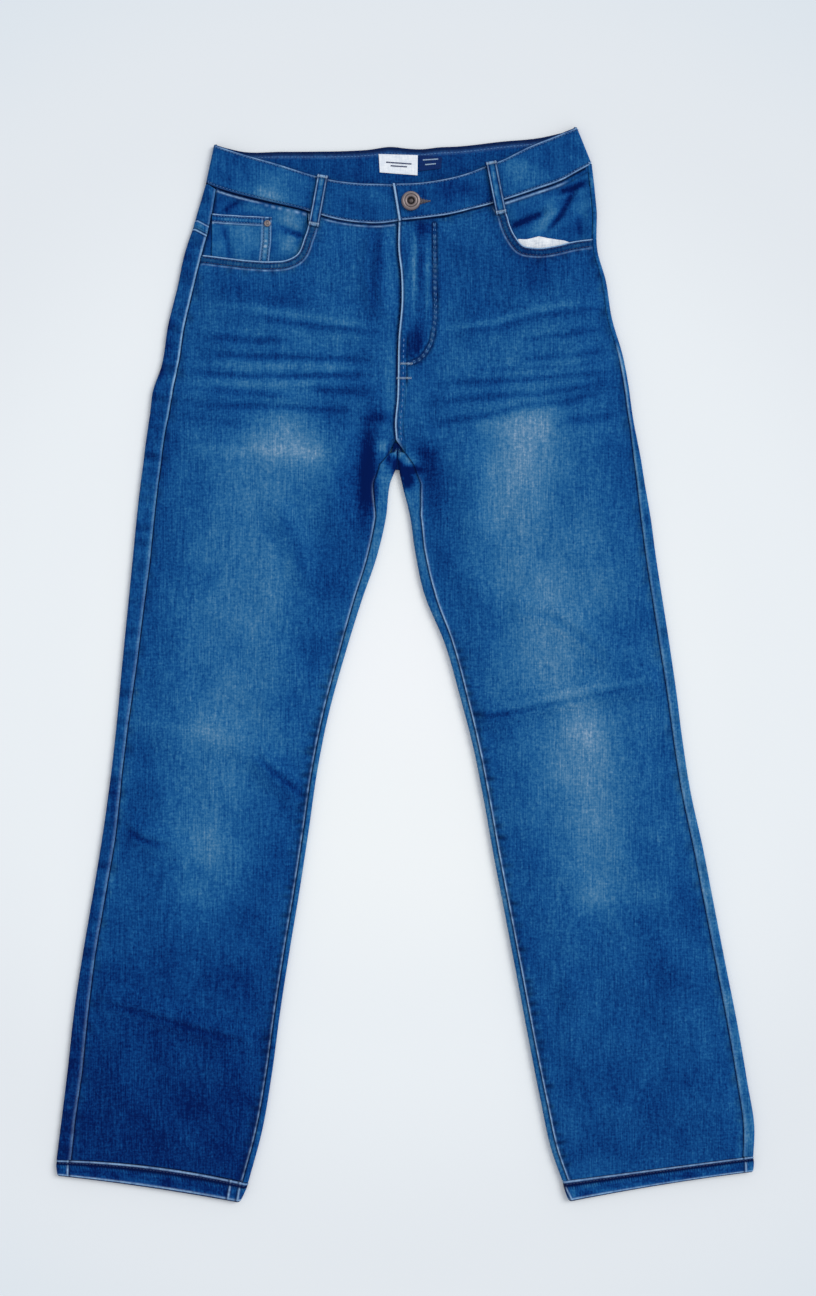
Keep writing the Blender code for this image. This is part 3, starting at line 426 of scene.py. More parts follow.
class LegPattern:
    """One leg's sections, read finely, and the seams that follow from them."""

    def __init__(self, side: Side, yoke: list, sections: list, hem_sag: float, yoke_sag: float) -> None:
        """Read the tables.

        Args:
            side: which leg.
            yoke: rows from the waistband to the yoke seam.
            sections: rows from the yoke seam to the hem.
            hem_sag: how far the last section's middle leaves its chord.
            yoke_sag: the same at the waistband.
        """
        self.side = side
        self.sign = side.value
        self.hem_sag = hem_sag
        self.yoke_sag = yoke_sag
        self.panel = self.read(sections, 2.0, fine_start=9.0)
        self.yoke = self.read(yoke, 2.0, fine_end=9.0)
        panel = self.panel
        wrapped = panel[panel[:, 7] > 0.999]
        self.outseam = np.stack([panel[:, 0] - self.sign * panel[:, 2], panel[:, 1] - panel[:, 3]], 1)
        self.inseam = np.stack([wrapped[:, 4] + self.sign * wrapped[:, 6], wrapped[:, 5]], 1)
        upper = self.yoke[:-1]
        side_seam = np.stack([upper[:, 0] - self.sign * upper[:, 2], upper[:, 1] - upper[:, 3]], 1)
        self.side_seam = np.concatenate([side_seam, self.outseam])

    @staticmethod
    def read(rows: list, spacing: float, fine_start: float = 0.0, fine_end: float = 0.0) -> Array:
        """Read section rows finely, with seam width and wrap kept straight.

        Args:
            rows: the knots.
            spacing: distance between rows.
            fine_start: length at the start with rows four times closer.
            fine_end: the same at the end.

        Returns:
            The rows.
        """
        table = np.array(rows, dtype=float)
        outer = np.hypot(np.diff(table[:, 0]), np.diff(table[:, 1]))
        inner = np.hypot(np.diff(table[:, 4]), np.diff(table[:, 5]))
        steps = np.concatenate([[0.0], np.cumsum((outer + inner) / 2)])
        fine = resample(table, steps, spacing / 4)
        places = np.linspace(steps[0], steps[-1], len(fine))
        for column in (2, 3, 6, 7):
            fine[:, column] = np.interp(places, steps, table[:, column])
        keep = (np.arange(len(fine)) % 4 == 0) | (places < fine_start) | (steps[-1] - places < fine_end)
        keep[-1] = True
        return fine[keep]

    def outseam_x(self, y: Array) -> Array:
        """X of the side seam at Y."""
        return np.interp(y, self.side_seam[::-1, 1], self.side_seam[::-1, 0])

    def inseam_x(self, y: Array) -> Array:
        """X of the inseam at Y."""
        return np.interp(y, self.inseam[::-1, 1], self.inseam[::-1, 0])

    def hem_line(self, shares: Array) -> Array:
        """Points of the hem seam at shares of the last section's width."""
        outer_x, outer_y, _, _, inner_x, inner_y, _, _ = self.panel[-1]
        left, right = outer_x - self.sign * FOLD_RADIUS, inner_x + self.sign * FOLD_RADIUS
        x = left + (right - left) * shares
        y = outer_y + (inner_y - outer_y) * shares + self.hem_sag * 4.0 * shares * (1.0 - shares)
        return np.stack([x, y], 1)


RIGHT_LEG = LegPattern(Side.RIGHT, RIGHT_YOKE, RIGHT_SECTIONS, 4.5, -1.0)
LEFT_LEG = LegPattern(Side.LEFT, LEFT_YOKE, LEFT_SECTIONS, 0.0, -4.0)
WAIST_LINE = sorted(RIGHT_WAIST_SEAM[:-1]) + sorted(LEFT_WAIST_SEAM[:-1])
FLY_LINE = [(y, x) for x, y in FLY_EDGE]


class Relief:
    """Heights of the cloth that lies on top, in millimetres."""

    @staticmethod
    def fly_x(y: Array) -> Array:
        """X of the fly edge at Y."""
        return along(FLY_LINE, y)

    @classmethod
    def edge(cls, x: Array, y: Array) -> Array:
        """Distance from the fronts' seams, as the solids measure it."""
        right = x < cls.fly_x(y)
        outer = np.where(right, x - RIGHT_LEG.outseam_x(y), LEFT_LEG.outseam_x(y) - x)
        inner = np.where(right, RIGHT_LEG.inseam_x(y) - x, x - LEFT_LEG.inseam_x(y))
        inner = inner + 1.6 * np.maximum(0.0, y - FORK)
        waist = along(WAIST_LINE, x) - y
        hem = y + 483.0 - 0.12 * np.abs(x)
        return np.maximum(0.0, np.minimum(np.minimum(outer, inner), np.minimum(waist, hem)))

    @classmethod
    def cloth(cls, x: Array, y: Array) -> Array:
        """Outer face of the fronts with folds, creases and soft waves."""
        edge = cls.edge(x, y)
        height = TOP + 1.6 * smooth(edge / 42.0)
        hold = smooth(edge / 14.0)
        for fold in MAIN_FOLDS:
            height = height + fold.height(x, y) * hold
        hold = smooth(edge / 5.0)
        for fold in FINE_CREASES:
            height = height + fold.height(x, y) * hold
        wave = 0.42 * ripple(x, y, 11, 38.0, 95.0) + 0.12 * ripple(x, y, 12, 12.0, 26.0)
        return height + wave * smooth(edge / 22.0)

    @staticmethod
    def mouth_share(x: Array, y: Array, mouth: Line, leg: LegPattern) -> Array:
        """How far the layers at a pocket mouth lie apart, 0 to 1."""
        below_waist = smooth((along(WAIST_LINE, x) - y) / 10.0)
        reach = near_line(x, y, mouth[2:], 46.0)[0]
        away = 1.0 - smooth((reach - 18.0) / 26.0)
        outer = smooth(leg.sign * (leg.outseam_x(y) - x) / 9.0)
        return below_waist * away * (0.4 + 0.6 * outer)

    @staticmethod
    def facing(x: Array, y: Array, mouth: Line, leg: LegPattern) -> Array:
        """Outer face of a pocket facing."""
        below_waist = smooth((along(WAIST_LINE, x) - y) / 10.0)
        outer = smooth(leg.sign * (leg.outseam_x(y) - x) / 9.0)
        sink = below_waist * (0.45 + 0.55 * outer)
        below_mouth = y <= along(mouth, x)
        sink = np.where(below_mouth, np.maximum(sink, 0.75), sink)
        return TOP - 1.5 * sink

    @classmethod
    def front_right(cls, x: Array, y: Array) -> Array:
        """Outer face of the right front."""
        return cls.cloth(x, y) + 1.5 * cls.mouth_share(x, y, RIGHT_MOUTH, RIGHT_LEG)

    @classmethod
    def front_left(cls, x: Array, y: Array) -> Array:
        """Outer face of the left front, with its raised fly band."""
        over = x - cls.fly_x(y)
        down = smooth((y - 268.0) / 18.0)
        band = 1.9 * (1.0 - smooth((over - 24.0) / 18.0)) * down
        streaks = 0.35 * ripple(x * 3.0, y * 0.18, 31, 18.0, 36.0) * band / 1.9
        return cls.cloth(x, y) + band + streaks + 0.9 * cls.mouth_share(x, y, LEFT_MOUTH, LEFT_LEG)


# ---- Wash and wear, with painted shade and highlights on the folds: how light the indigo is ----


@dataclass(frozen=True)
class Patch:
    """A worn or dark patch: centre, half sizes, turn in degrees, change of tone."""

    x: float
    y: float
    half_x: float
    half_y: float
    turn: float
    tone: float

    def change(self, x: Array, y: Array) -> Array:
        """Change of tone at points."""
        turn = math.radians(self.turn)
        along_x = (x - self.x) * math.cos(turn) + (y - self.y) * math.sin(turn)
        along_y = (y - self.y) * math.cos(turn) - (x - self.x) * math.sin(turn)
        return self.tone * np.exp(-((along_x / self.half_x) ** 2) - (along_y / self.half_y) ** 2)


@dataclass(frozen=True)
class Stroke:
    """A worn or dark stroke along a line: points, half width, change of tone."""

    points: tuple[tuple[float, float], ...]
    width: float
    tone: float

    def change(self, x: Array, y: Array) -> Array:
        """Change of tone at points."""
        away, _, place = near_line(x, y, self.points, 3.0 * self.width)
        size = sum(math.dist(a, b) for a, b in zip(self.points, self.points[1:]))
        ends = smooth(place / size * 5.0) * smooth((1.0 - place / size) * 5.0)
        return self.tone * bell(away, 0.0, self.width) * (0.25 + 0.75 * ends)


def patches(*rows: tuple) -> list[Patch]:
    """Patches from rows of centre, half sizes, turn and change of tone."""
    return [Patch(*row) for row in rows]


def strokes(*rows: tuple) -> list[Stroke]:
    """Strokes from rows of half width, change of tone and points."""
    return [Stroke(tuple(points), width, tone) for width, tone, *points in rows]


# Base tone down each leg: Y, tone
RIGHT_TONE = [
    (-470, 0.12), (-400, 0.13), (-330, 0.19), (-260, 0.27), (-200, 0.36), (-100, 0.4), (0, 0.42),
    (100, 0.42), (200, 0.4), (300, 0.4), (400, 0.42),
]
LEFT_TONE = [
    (-470, 0.34), (-400, 0.35), (-330, 0.36), (-260, 0.38), (-200, 0.42), (-100, 0.43), (0, 0.44),
    (100, 0.43), (200, 0.42), (300, 0.4), (400, 0.39),
]
# Drawn-in places on the strip outside the right side seam
HIP_SHADES = patches(
    (-212, 307, 5, 6, 0, -0.22), (-214, 285, 5, 7, 0, -0.18), (-221, 263, 5, 8, 0, -0.3),
    (-226, 222, 6, 12, 0, -0.16), (-198, 372, 6, 10, 0, -0.16), (-192, 400, 6, 8, 0, -0.12),
)
# Painted shade in the hollows and fold valleys round the fork and beside the fly fold, painted highlights on
# the bulges there, and a few wash patches on the hips; the inner strips of the backs take them up too
FORK_SHADE_AND_WASH = patches(
    (-34.5, 174, 7, 40, -3, -0.62), (-27, 158, 4, 20, -8, -0.3), (-12, 193, 3, 3.6, 0, 0.55),
    (-5.5, 188, 2.6, 5.5, 0, 0.45), (-15, 186, 2.4, 10, -12, -0.45), (-20, 196, 5.5, 5, 0, 0.34),
    (-25, 165, 4, 20, 0, 0.1), (4, 184.5, 11, 4.4, 0, 0.22), (-7, 178, 5, 8, 0, -1.1),
    (4, 175, 9, 3.4, 0, -0.85), (2, 166, 5, 6, 0, -0.8), (26, 180, 14, 22, 0, -0.14),
    (-24, 222, 10, 6, 0, -0.3), (-14, 254, 5, 26, 0, 0.16), (112, 290, 26, 10, 10, 0.08),
    (96, 216, 46, 12, 4, 0.1), (100, 250, 50, 26, 0, 0.04), (-140, 268, 60, 30, 0, 0.02),
    (-25, 372, 5, 26, 0, -0.18), (18, 190, 9, 9, 0, -0.26), (22, 160, 8, 30, 6, -0.12),
)
WASH = patches(
    # Right leg
    (-114, 195, 38, 24, 0, 0.3), (-140, 155, 40, 26, 0, 0.14), (-145, 62, 52, 80, -8, 0.2),
    (-160, -60, 60, 34, -8, 0.16), (-178, -160, 32, 52, -6, 0.27), (-178, -208, 26, 12, -6, 0.08),
    (-218, -120, 18, 30, -6, 0.05), (-226, 205, 18, 70, -6, -0.04), (-226, 60, 16, 80, -4, -0.08),
    (-75, 150, 20, 36, 0, 0.12), (-62, 120, 26, 85, -10, -0.17), (-90, -20, 22, 80, -14, -0.08),
    (-110, -170, 20, 90, -10, -0.08), (-90, 290, 52, 20, -6, 0.11), (-112, 238, 34, 22, 0, 0.1),
    (-120, 333, 60, 12, -6, -0.08), (-30, 345, 10, 40, 0, -0.18), (-14, 340, 6, 50, 0, 0.1),
    (-190, -400, 60, 30, 0, -0.02), (-108, 215, 28, 15, 0, 0.11), (-84, 184, 20, 26, 0, 0.09),
    (-238, -115, 16, 60, -6, -0.13), (-225, 165, 14, 70, -6, -0.09), (-228, 224, 12, 28, 0, -0.12),
    (-108, -215, 12, 60, -8, 0.08), (26, 338, 10, 14, 0, -0.14), (-185, -66, 24, 14, 0, 0.12),
    (-130, 258, 40, 12, 0, 0.08), (-125, -15, 60, 46, 0, 0.07), (-165, -105, 30, 26, 0, 0.05),
    (-130, -365, 18, 40, -8, 0.07), (-225, 330, 30, 60, 0, -0.03),
    # Left leg
    (103, 162, 20, 16, 0, 0.09), (128, 36, 26, 24, 0, 0.07), (158, -68, 20, 14, 0, 0.09),
    (121, 266, 34, 10, 0, 0.09), (60, -150, 14, 50, 10, -0.09), (146, -100, 60, 26, 0, 0.12),
    (162, -214, 30, 20, 0, 0.1), (118, 74, 46, 28, 0, 0.11), (122, -14, 54, 22, 0, 0.11),
    (84, 186, 24, 20, 0, 0.09), (72, 262, 20, 14, 0, 0.07), (125, 301, 26, 12, 8, 0.12),
    (48, 344, 20, 34, 0, -0.07), (112, 346, 26, 20, 0, -0.07), (200, 222, 12, 24, 0, -0.09),
    (106, -260, 14, 30, 8, -0.05), (114, 205, 34, 36, 0, 0.3), (104, 135, 34, 60, 0, 0.24),
    (168, 96, 32, 46, 0, 0.15), (132, 22, 34, 46, 6, 0.24), (162, -60, 32, 34, 8, 0.3),
    (168, -150, 30, 58, 8, 0.28), (176, -208, 22, 16, 0, 0.09), (78, 130, 16, 50, 4, 0.08),
    (205, 150, 20, 70, 6, -0.04), (40, 90, 18, 60, 14, -0.1), (70, -60, 16, 60, 12, -0.08),
    (24, 165, 12, 36, 6, -0.08), (44, 292, 11, 20, 0, 0.1), (150, 272, 40, 16, 10, 0.08),
    (112, 372, 26, 22, 0, -0.14), (160, 342, 34, 18, 0, -0.06), (75, 335, 30, 40, 0, -0.03),
    (0, 283, 9, 11, 0, -0.12), (205, -400, 60, 50, 0, -0.07), (232, -285, 20, 34, 8, -0.09),
    (262, -225, 14, 40, 10, -0.08), (112, -205, 18, 30, 0, -0.05),
    # Fly band: streaks that the pressed layers beneath leave
    (16, 392, 9, 8, 0, -0.34), (7.6, 358, 2.6, 34, 0, 0.3), (19.6, 352, 2, 34, 0, 0.26),
    (13.6, 352, 3.4, 30, 0, -0.24), (12, 320, 8, 14, 0, -0.05), (10.5, 289, 8, 17, 0, -0.38),
    # Painted shade in the hollow between the two upper whiskers
    (-108, 326, 20, 5, -6, -0.1),
)
WHISKERS_AND_CREASE_SHADING = strokes(
    (3.6, 0.13, (-172, 325), (-115, 316.5), (-64, 308.5), (-20, 303.5)),
    (3, -0.19, (-136, 312.5), (-84, 304.5), (-30, 299)),
    (3.2, -0.21, (-178, 295), (-138, 291.5), (-104, 291.5)),
    (4, 0.06, (-99, 296.5), (-60, 294), (-24, 293)),
    (3.2, -0.19, (-184, 280), (-138, 277), (-84, 276), (-28, 274)),
    (3.4, 0.11, (-186, 270), (-110, 268.5), (-33, 267)),
    (3.2, -0.22, (-200, 263.5), (-146, 259.5), (-84, 259.5), (-32, 260.5)),
    (3.4, 0.07, (-190, 254), (-120, 252.5), (-60, 253)),
    (3.2, -0.19, (-183, 248), (-142, 244), (-103, 241)), (3.8, -0.23, (-88, 248), (-60, 246), (-30, 243.5)),
    (3.6, -0.19, (-200, 235), (-162, 232), (-138, 233), (-44, 227)),
    (4, -0.08, (-206, 222), (-170, 219), (-130, 216)), (6, 0.1, (-195, 193), (-128, 192), (-60, 190)),
    (3.6, 0.17, (35, 302), (77, 307), (116, 319), (162, 327)),
    (3, -0.13, (41, 298), (83, 302.5), (120, 313), (150, 316.5), (181, 322)),
    (3.2, -0.16, (100, 290), (120, 293.5), (150, 297.5), (181, 303)),
    (3, -0.16, (98, 273), (128, 277), (158, 278), (188, 284)),
    (2.8, -0.13, (68, 265), (120, 267), (150, 267.5), (190, 277)),
    (3.2, -0.2, (27, 254), (66, 254), (104, 256), (137, 259), (187, 263.5)),
    (3.2, -0.2, (20, 235), (62, 239.5), (87, 241.5), (120, 243), (187, 254)),
    (3.4, -0.2, (14, 214.5), (46, 219.5), (81, 225), (104, 232), (150, 237.5), (184, 248)),
    (4, -0.14, (136, 218), (164, 221), (192, 226)),
    # From here on the strokes follow the knee creases and thigh folds: painted shade along them and painted
    # highlights on the ridges beside them
    (1.9, -0.1, (67, -50), (92, -44), (121, -38), (160, -30), (212, -20)),
    (3.4, -0.16, (66, -44), (76, -46), (98, -42)), (3, 0.11, (80, -41), (121, -31), (170, -20), (225, -12)),
    (2.6, -0.2, (-132, -84), (-116, -99), (-98, -113), (-88, -121)),
    (2.6, -0.2, (-252, -148), (-236, -158), (-216, -163)),
    (2.8, -0.14, (-277, -303), (-245, -311), (-205, -323), (-150, -339)),
    (3.2, 0.06, (-240, -52), (-194, -58), (-140, -70)),
    (3, -0.12, (108, 48), (130, 43), (156, 26), (176, 8)), (5, -0.08, (-111, 134), (-97, 106), (-92, 78)),
)


def leg_tone(x: Array, y: Array) -> Array:
    """Tone of the panels at points, 0 dark indigo to 1 pale: the wash, with painted shade and highlights at
    the fork, beside the fly fold and along the knee creases.
    """
    tone = np.where(x < -5.0, along(RIGHT_TONE, y), along(LEFT_TONE, y))
    for mark in WASH + WHISKERS_AND_CREASE_SHADING + FORK_SHADE_AND_WASH:
        tone = tone + mark.change(x, y)
    return tone + 0.035 * ripple(x, y, 41, 22.0, 70.0)


@dataclass(frozen=True)
class SeamMark:
    """A line that follows a seam at a distance to one side.

    It can be worn pale, dark, lighter in tone and raised or sunk. A power
    above two gives it a flat top, and a pitch breaks it into ticks. Start and
    end are places along the seam where it fades in and out.
    """

    line: Array
    offset: float
    width: float
    worn: float = 0.0
    dark: float = 0.0
    tone: float = 0.0
    rise: float = 0.0
    patchy: float = 0.25
    power: float = 2.0
    pitch: float = 0.0
    start: float = -FAR
    end: float = FAR
    fade: float = 14.0

    def shape(self, x: Array, y: Array) -> tuple[Array, Array]:
        """Strength of the line at points, and its unevenness.

        Args:
            x: the points' X.
            y: the points' Y.

        Returns:
            The strength from 0 to 1, and the factor that makes it uneven.
        """
        _, signed, place = near_line(x, y, self.line, abs(self.offset) + 3.0 * self.width)
        strength = np.exp(-(np.minimum(np.abs(signed - self.offset) / self.width, 9.0) ** self.power))
        if self.pitch > 0.0:
            wander = 0.8 * ripple(place, place * 0.0, 64, 4.0 * self.pitch, 9.0 * self.pitch)
            strength = strength * (0.5 + 0.5 * np.sin(2 * math.pi * place / self.pitch + wander))
        strength = strength * smooth((place - self.start) / self.fade)
        strength = strength * smooth((self.end - place) / self.fade)
        seed = 60 + int(abs(self.offset) * 10)
        return strength, 1.0 + self.patchy * ripple(place, place * 0.0, seed, 4.0, 21.0)


@dataclass(frozen=True)
class Puckers:
    """Short creases that run off a seam where the thread has drawn it in."""

    line: Array
    start: float
    end: float
    pitch: float
    depth: float
    reach: float
    side: float
    slant: float
    seed: int
    shade: float = 0.5

    def height(self, x: Array, y: Array) -> Array:
        """Trough depth at points, from 0 down.

        Args:
            x: the points' X.
            y: the points' Y.

        Returns:
            Millimetres, zero or less.
        """
        total = np.zeros(np.shape(x))
        away, signed, place = near_line(x, y, self.line, 1.4 * self.reach)
        near = (away < self.reach * 1.4) & (signed * self.side >= -0.2)
        if not near.any():
            return total
        d, s = away[near], place[near]
        part = np.zeros(d.shape)
        draw = np.random.default_rng(self.seed)
        at = self.start
        while at < self.end:
            middle = at + draw.uniform(-0.22, 0.22) * self.pitch
            deep = self.depth * draw.uniform(0.35, 1.0)
            reach = self.reach * draw.uniform(0.45, 1.0)
            lean = self.slant + draw.uniform(-0.2, 0.2)
            half = self.pitch * draw.uniform(0.18, 0.30)
            part -= deep * np.exp(-(((s - middle - lean * d) / half) ** 2)) * (1.0 - smooth(d / reach))
            at += self.pitch * draw.uniform(0.85, 1.2)
        total[near] = part
        return total


@dataclass
class Wear:
    """Everything that colours a piece: its tone, seam lines and puckers."""

    tone: object
    marks: list[SeamMark] = field(default_factory=list)
    puckers: list[Puckers] = field(default_factory=list)

    def height(self, x: Array, y: Array) -> Array:
        """Height that seam lines and puckers add at points."""
        total = np.zeros(x.shape)
        for mark in self.marks:
            if mark.rise:
                total = total + mark.rise * mark.shape(x, y)[0]
        for row in self.puckers:
            total = total + row.height(x, y)
        return total

    def read(self, x: Array, y: Array) -> dict[str, Array]:
        """Tone, worn and dark values at points.

        Args:
            x: the points' X.
            y: the points' Y.

        Returns:
            One array for each attribute of the mesh.
        """
        tone = self.tone(x, y) if callable(self.tone) else np.full(x.shape, float(self.tone))
        worn, dark = np.zeros(x.shape), np.zeros(x.shape)
        for mark in self.marks:
            strength, uneven = mark.shape(x, y)
            worn = np.maximum(worn, mark.worn * strength * uneven)
            dark = np.maximum(dark, mark.dark * strength * uneven)
            tone = tone + mark.tone * strength * uneven
        # Pucker troughs darken with their depth: partly the darker indigo that the wash leaves in them,
        # partly painted shade
        for row in self.puckers:
            depth = -row.height(x, y) / max(row.depth, 1e-6)
            clear = 1.0 - np.clip(1.5 * worn, 0.0, 1.0)
            dark = np.maximum(dark, row.shade * np.clip(1.2 * depth, 0.0, 1.0) ** 0.6 * clear)
        worn = worn * (1.0 - 0.8 * dark)
        return {"tone": tone, "worn": np.clip(worn, 0.0, 1.0), "dark": np.clip(dark, 0.0, 1.0)}


# ---- Meshes ----


def make_piece(name: str, points: Array, faces: list, finish: bpy.types.Material,
               values: dict[str, Array] | None = None, sharp: float = 55.0) -> bpy.types.Object:
    """Make a mesh piece from points in millimetres.

    Args:
        name: the piece's name.
        points: N by 3 points.
        faces: corner indices of each face.
        finish: its material.
        values: float attributes of the points.
        sharp: edges that turn more than this many degrees stay sharp.

    Returns:
        The new object, linked to the scene.
    """
    mesh = bpy.data.meshes.new(name)
    mesh.from_pydata((points * MM).tolist(), [], faces)
    mesh.materials.append(finish)
    for key, data in (values or {}).items():
        layer = mesh.attributes.new(key, "FLOAT", "POINT")
        layer.data.foreach_set("value", np.asarray(data, dtype=np.float32))
    mesh.polygons.foreach_set("use_smooth", [True] * len(mesh.polygons))
    mesh.set_sharp_from_angle(angle=math.radians(sharp))
    mesh.validate()
    mesh.update()
    piece = bpy.data.objects.new(name, mesh)
    bpy.context.scene.collection.objects.link(piece)
    return piece


def close_loft(loops: Array, flip: bool, ring: bool = False) -> list:
    """Faces that join closed loops of points into a body.

    Args:
        loops: array of loops by points by 3.
        flip: turn the faces round.
        ring: join the last loop to the first instead of closing both ends.

    Returns:
        Corner indices of each face.
    """
    count, size = loops.shape[:2]
    faces = []
    last = count if ring else count - 1
    for index in range(last):
        near, far = index * size, ((index + 1) % count) * size
        for i in range(size):
            j = (i + 1) % size
            faces.append((near + i, near + j, far + j, far + i))
    if not ring:
        half = size // 2
        end = (count - 1) * size
        for i in range(half - 1):
            faces.append((i + 1, i, size - 1 - i, size - 2 - i))
            faces.append((end + i, end + i + 1, end + size - 2 - i, end + size - 1 - i))
    return [face[::-1] for face in faces] if flip else faces


@dataclass(frozen=True)
class FineRows:
    """A strip along a seam whose mesh is fine: the line and its two limits."""

    line: Array
    low: float
    high: float
    step: float = 0.5
    spacing: float = 1.3


@dataclass
class ClothSheet:
    """A cut of cloth on the top side: outline, height rule and thickness."""

    name: str
    outline: Array
    top: object
    thickness: float
    spacing: float
    wear: Wear
    round_edge: float = 0.4
    rings: tuple[float, ...] = (0.4, 0.85, 1.4, 2.0, 2.9)
    fine: list[FineRows] = field(default_factory=list)
    under_spacing: float = 9.0

    def lattice(self, loop: Array, closed: Array, spacing: float, margin: float) -> Array:
        """Even triangular lattice inside the outline, a margin off its edge."""
        low, high = loop.min(0), loop.max(0)
        rows = np.arange(low[1] + spacing / 2, high[1], spacing * 0.87)
        columns = np.arange(low[0], high[0], spacing)
        grid_x, grid_y = np.meshgrid(columns, rows)
        grid_x = grid_x + (np.arange(len(rows)) % 2)[:, None] * spacing / 2
        x, y = grid_x.ravel(), grid_y.ravel()
        keep = inside(x, y, loop)
        x, y = x[keep], y[keep]
        keep = near_line(x, y, closed, margin + 1.0)[0] > margin
        return np.stack([x[keep], y[keep]], 1)

    @staticmethod
    def triangulate(groups: list[Array], size: int) -> tuple[Array, Array, Array]:
        """Join points into triangles inside the outline.

        Args:
            groups: point groups; the outline is the first.
            size: number of points of the outline.

        Returns:
            The points, the triangles facing up, and each outline point's index.
        """
        points = np.concatenate(groups)
        found = delaunay_2d_cdt([Vector(p) for p in points.tolist()], [], [list(range(size))], 1, 1e-4)
        flat = np.array([(v.x, v.y) for v in found[0]])
        tri = np.array(found[2])
        a, b, c = flat[tri[:, 0]], flat[tri[:, 1]], flat[tri[:, 2]]
        turn = (b[:, 0] - a[:, 0]) * (c[:, 1] - a[:, 1]) - (b[:, 1] - a[:, 1]) * (c[:, 0] - a[:, 0])
        tri[turn < 0] = tri[turn < 0][:, ::-1]
        where = np.zeros(len(points), dtype=int)
        for index, sources in enumerate(found[3]):
            for source in sources:
                where[source] = index
        return flat, tri, where[:size]

    def build(self, finish: bpy.types.Material) -> bpy.types.Object:
        """Make the closed sheet, fine on top and coarse beneath.

        Args:
            finish: its material.

        Returns:
            The piece.
        """
        loop = self.outline
        area = np.sum(loop[:, 0] * np.roll(loop[:, 1], -1) - np.roll(loop[:, 0], -1) * loop[:, 1])
        if area < 0:
            loop = loop[::-1]
        closed = np.concatenate([loop, loop[:1]])
        ahead = np.roll(loop, -1, axis=0) - np.roll(loop, 1, axis=0)
        ahead /= np.maximum(np.hypot(ahead[:, 0], ahead[:, 1]), 1e-9)[:, None]
        inward = np.stack([-ahead[:, 1], ahead[:, 0]], 1)
        groups = [loop]
        for offset in self.rings:
            ring = loop + inward * offset
            away = near_line(ring[:, 0], ring[:, 1], closed, offset + 1.0)[0]
            groups.append(ring[inside(ring[:, 0], ring[:, 1], loop) & (away > offset * 0.85)])
        margin = self.rings[-1]
        field_points = self.lattice(loop, closed, self.spacing, margin + self.spacing * 0.4)
        for strip in self.fine:
            line = curve(strip.line, strip.spacing)
            for offset in np.arange(strip.low, strip.high + 1e-6, strip.step):
                row = offset_line(line, offset)
                away = near_line(row[:, 0], row[:, 1], closed, margin + 1.0)[0]
                true = near_line(row[:, 0], row[:, 1], line, abs(offset) + 1.0)[0]
                groups.append(row[
                    inside(row[:, 0], row[:, 1], loop) & (away > margin + 0.25) & (true > abs(offset) - 0.1)])
            reach = abs(strip.low) + abs(strip.high) + 2.0
            signed = near_line(field_points[:, 0], field_points[:, 1], line, reach)[1]
            field_points = field_points[(signed < strip.low - 0.7) | (signed > strip.high + 0.7)]
        groups.append(field_points)
        flat, tri, rim = self.triangulate(groups, len(loop))
        under_points = self.lattice(loop, closed, self.under_spacing, self.under_spacing * 0.5)
        under, under_tri, under_rim = self.triangulate([loop, under_points], len(loop))
        height = self.top(flat[:, 0], flat[:, 1]) + self.wear.height(flat[:, 0], flat[:, 1])
        height[rim] -= self.round_edge
        below = self.top(under[:, 0], under[:, 1]) - self.thickness
        points = np.concatenate([
            np.stack([flat[:, 0], flat[:, 1], height], 1), np.stack([under[:, 0], under[:, 1], below], 1)])
        count = len(flat)
        faces = tri.tolist() + (under_tri[:, ::-1] + count).tolist()
        for i in range(len(loop)):
            j = (i + 1) % len(loop)
            faces.append((count + int(under_rim[i]), count + int(under_rim[j]), int(rim[j]), int(rim[i])))
        top_values = self.wear.read(flat[:, 0], flat[:, 1])
        values = {
            key: np.concatenate([data, np.full(len(under), 0.0 if key != "tone" else 0.3)])
            for key, data in top_values.items()}
        LOG.info("%s: %d triangles", self.name, len(tri) + len(under_tri) + 2 * len(loop))
        return make_piece(self.name, points, faces, finish, values)


# ---- Finishes ----


def add_node(tree: bpy.types.NodeTree, kind: str, settings: dict | None = None,
             links: dict | None = None) -> bpy.types.Node:
    """Add a node with its settings and links.

    Args:
        tree: the node tree.
        kind: the node's type name.
        settings: attributes by name; a key "in:NAME" or "in:0" sets a socket.
        links: socket name or number to the socket that feeds it.

    Returns:
        The node.
    """
    node = tree.nodes.new(kind)
    for key, value in (settings or {}).items():
        if key.startswith("in:"):
            name = key[3:]
            node.inputs[int(name) if name.isdigit() else name].default_value = value
        else:
            setattr(node, key, value)
    for key, socket in (links or {}).items():
        tree.links.new(socket, node.inputs[int(key) if str(key).isdigit() else key])
    return node


def new_surface(name: str) -> tuple[bpy.types.Material, bpy.types.NodeTree, bpy.types.Node]:
    """Start a material and give its tree and shader."""
    finish = bpy.data.materials.new(name)
    finish.use_nodes = True
    return finish, finish.node_tree, finish.node_tree.nodes["Principled BSDF"]


def compute(tree: bpy.types.NodeTree, operation: str, *values: Socket | float, clamp: bool = False) -> Socket:
    """Work out a value from sockets and numbers.

    Args:
        tree: the node tree.
        operation: what to do with them.
        values: sockets or numbers, in the node's order.
        clamp: keep the result between 0 and 1.

    Returns:
        The result's socket.
    """
    node = add_node(tree, "ShaderNodeMath", {"operation": operation, "use_clamp": clamp})
    for value, entry in zip(values, node.inputs):
        if isinstance(value, (int, float)):
            entry.default_value = value
        else:
            tree.links.new(value, entry)
    return node.outputs[0]


def place_of(tree: bpy.types.NodeTree) -> Socket:
    """Place on the piece, in metres."""
    return add_node(tree, "ShaderNodeTexCoord").outputs["Object"]


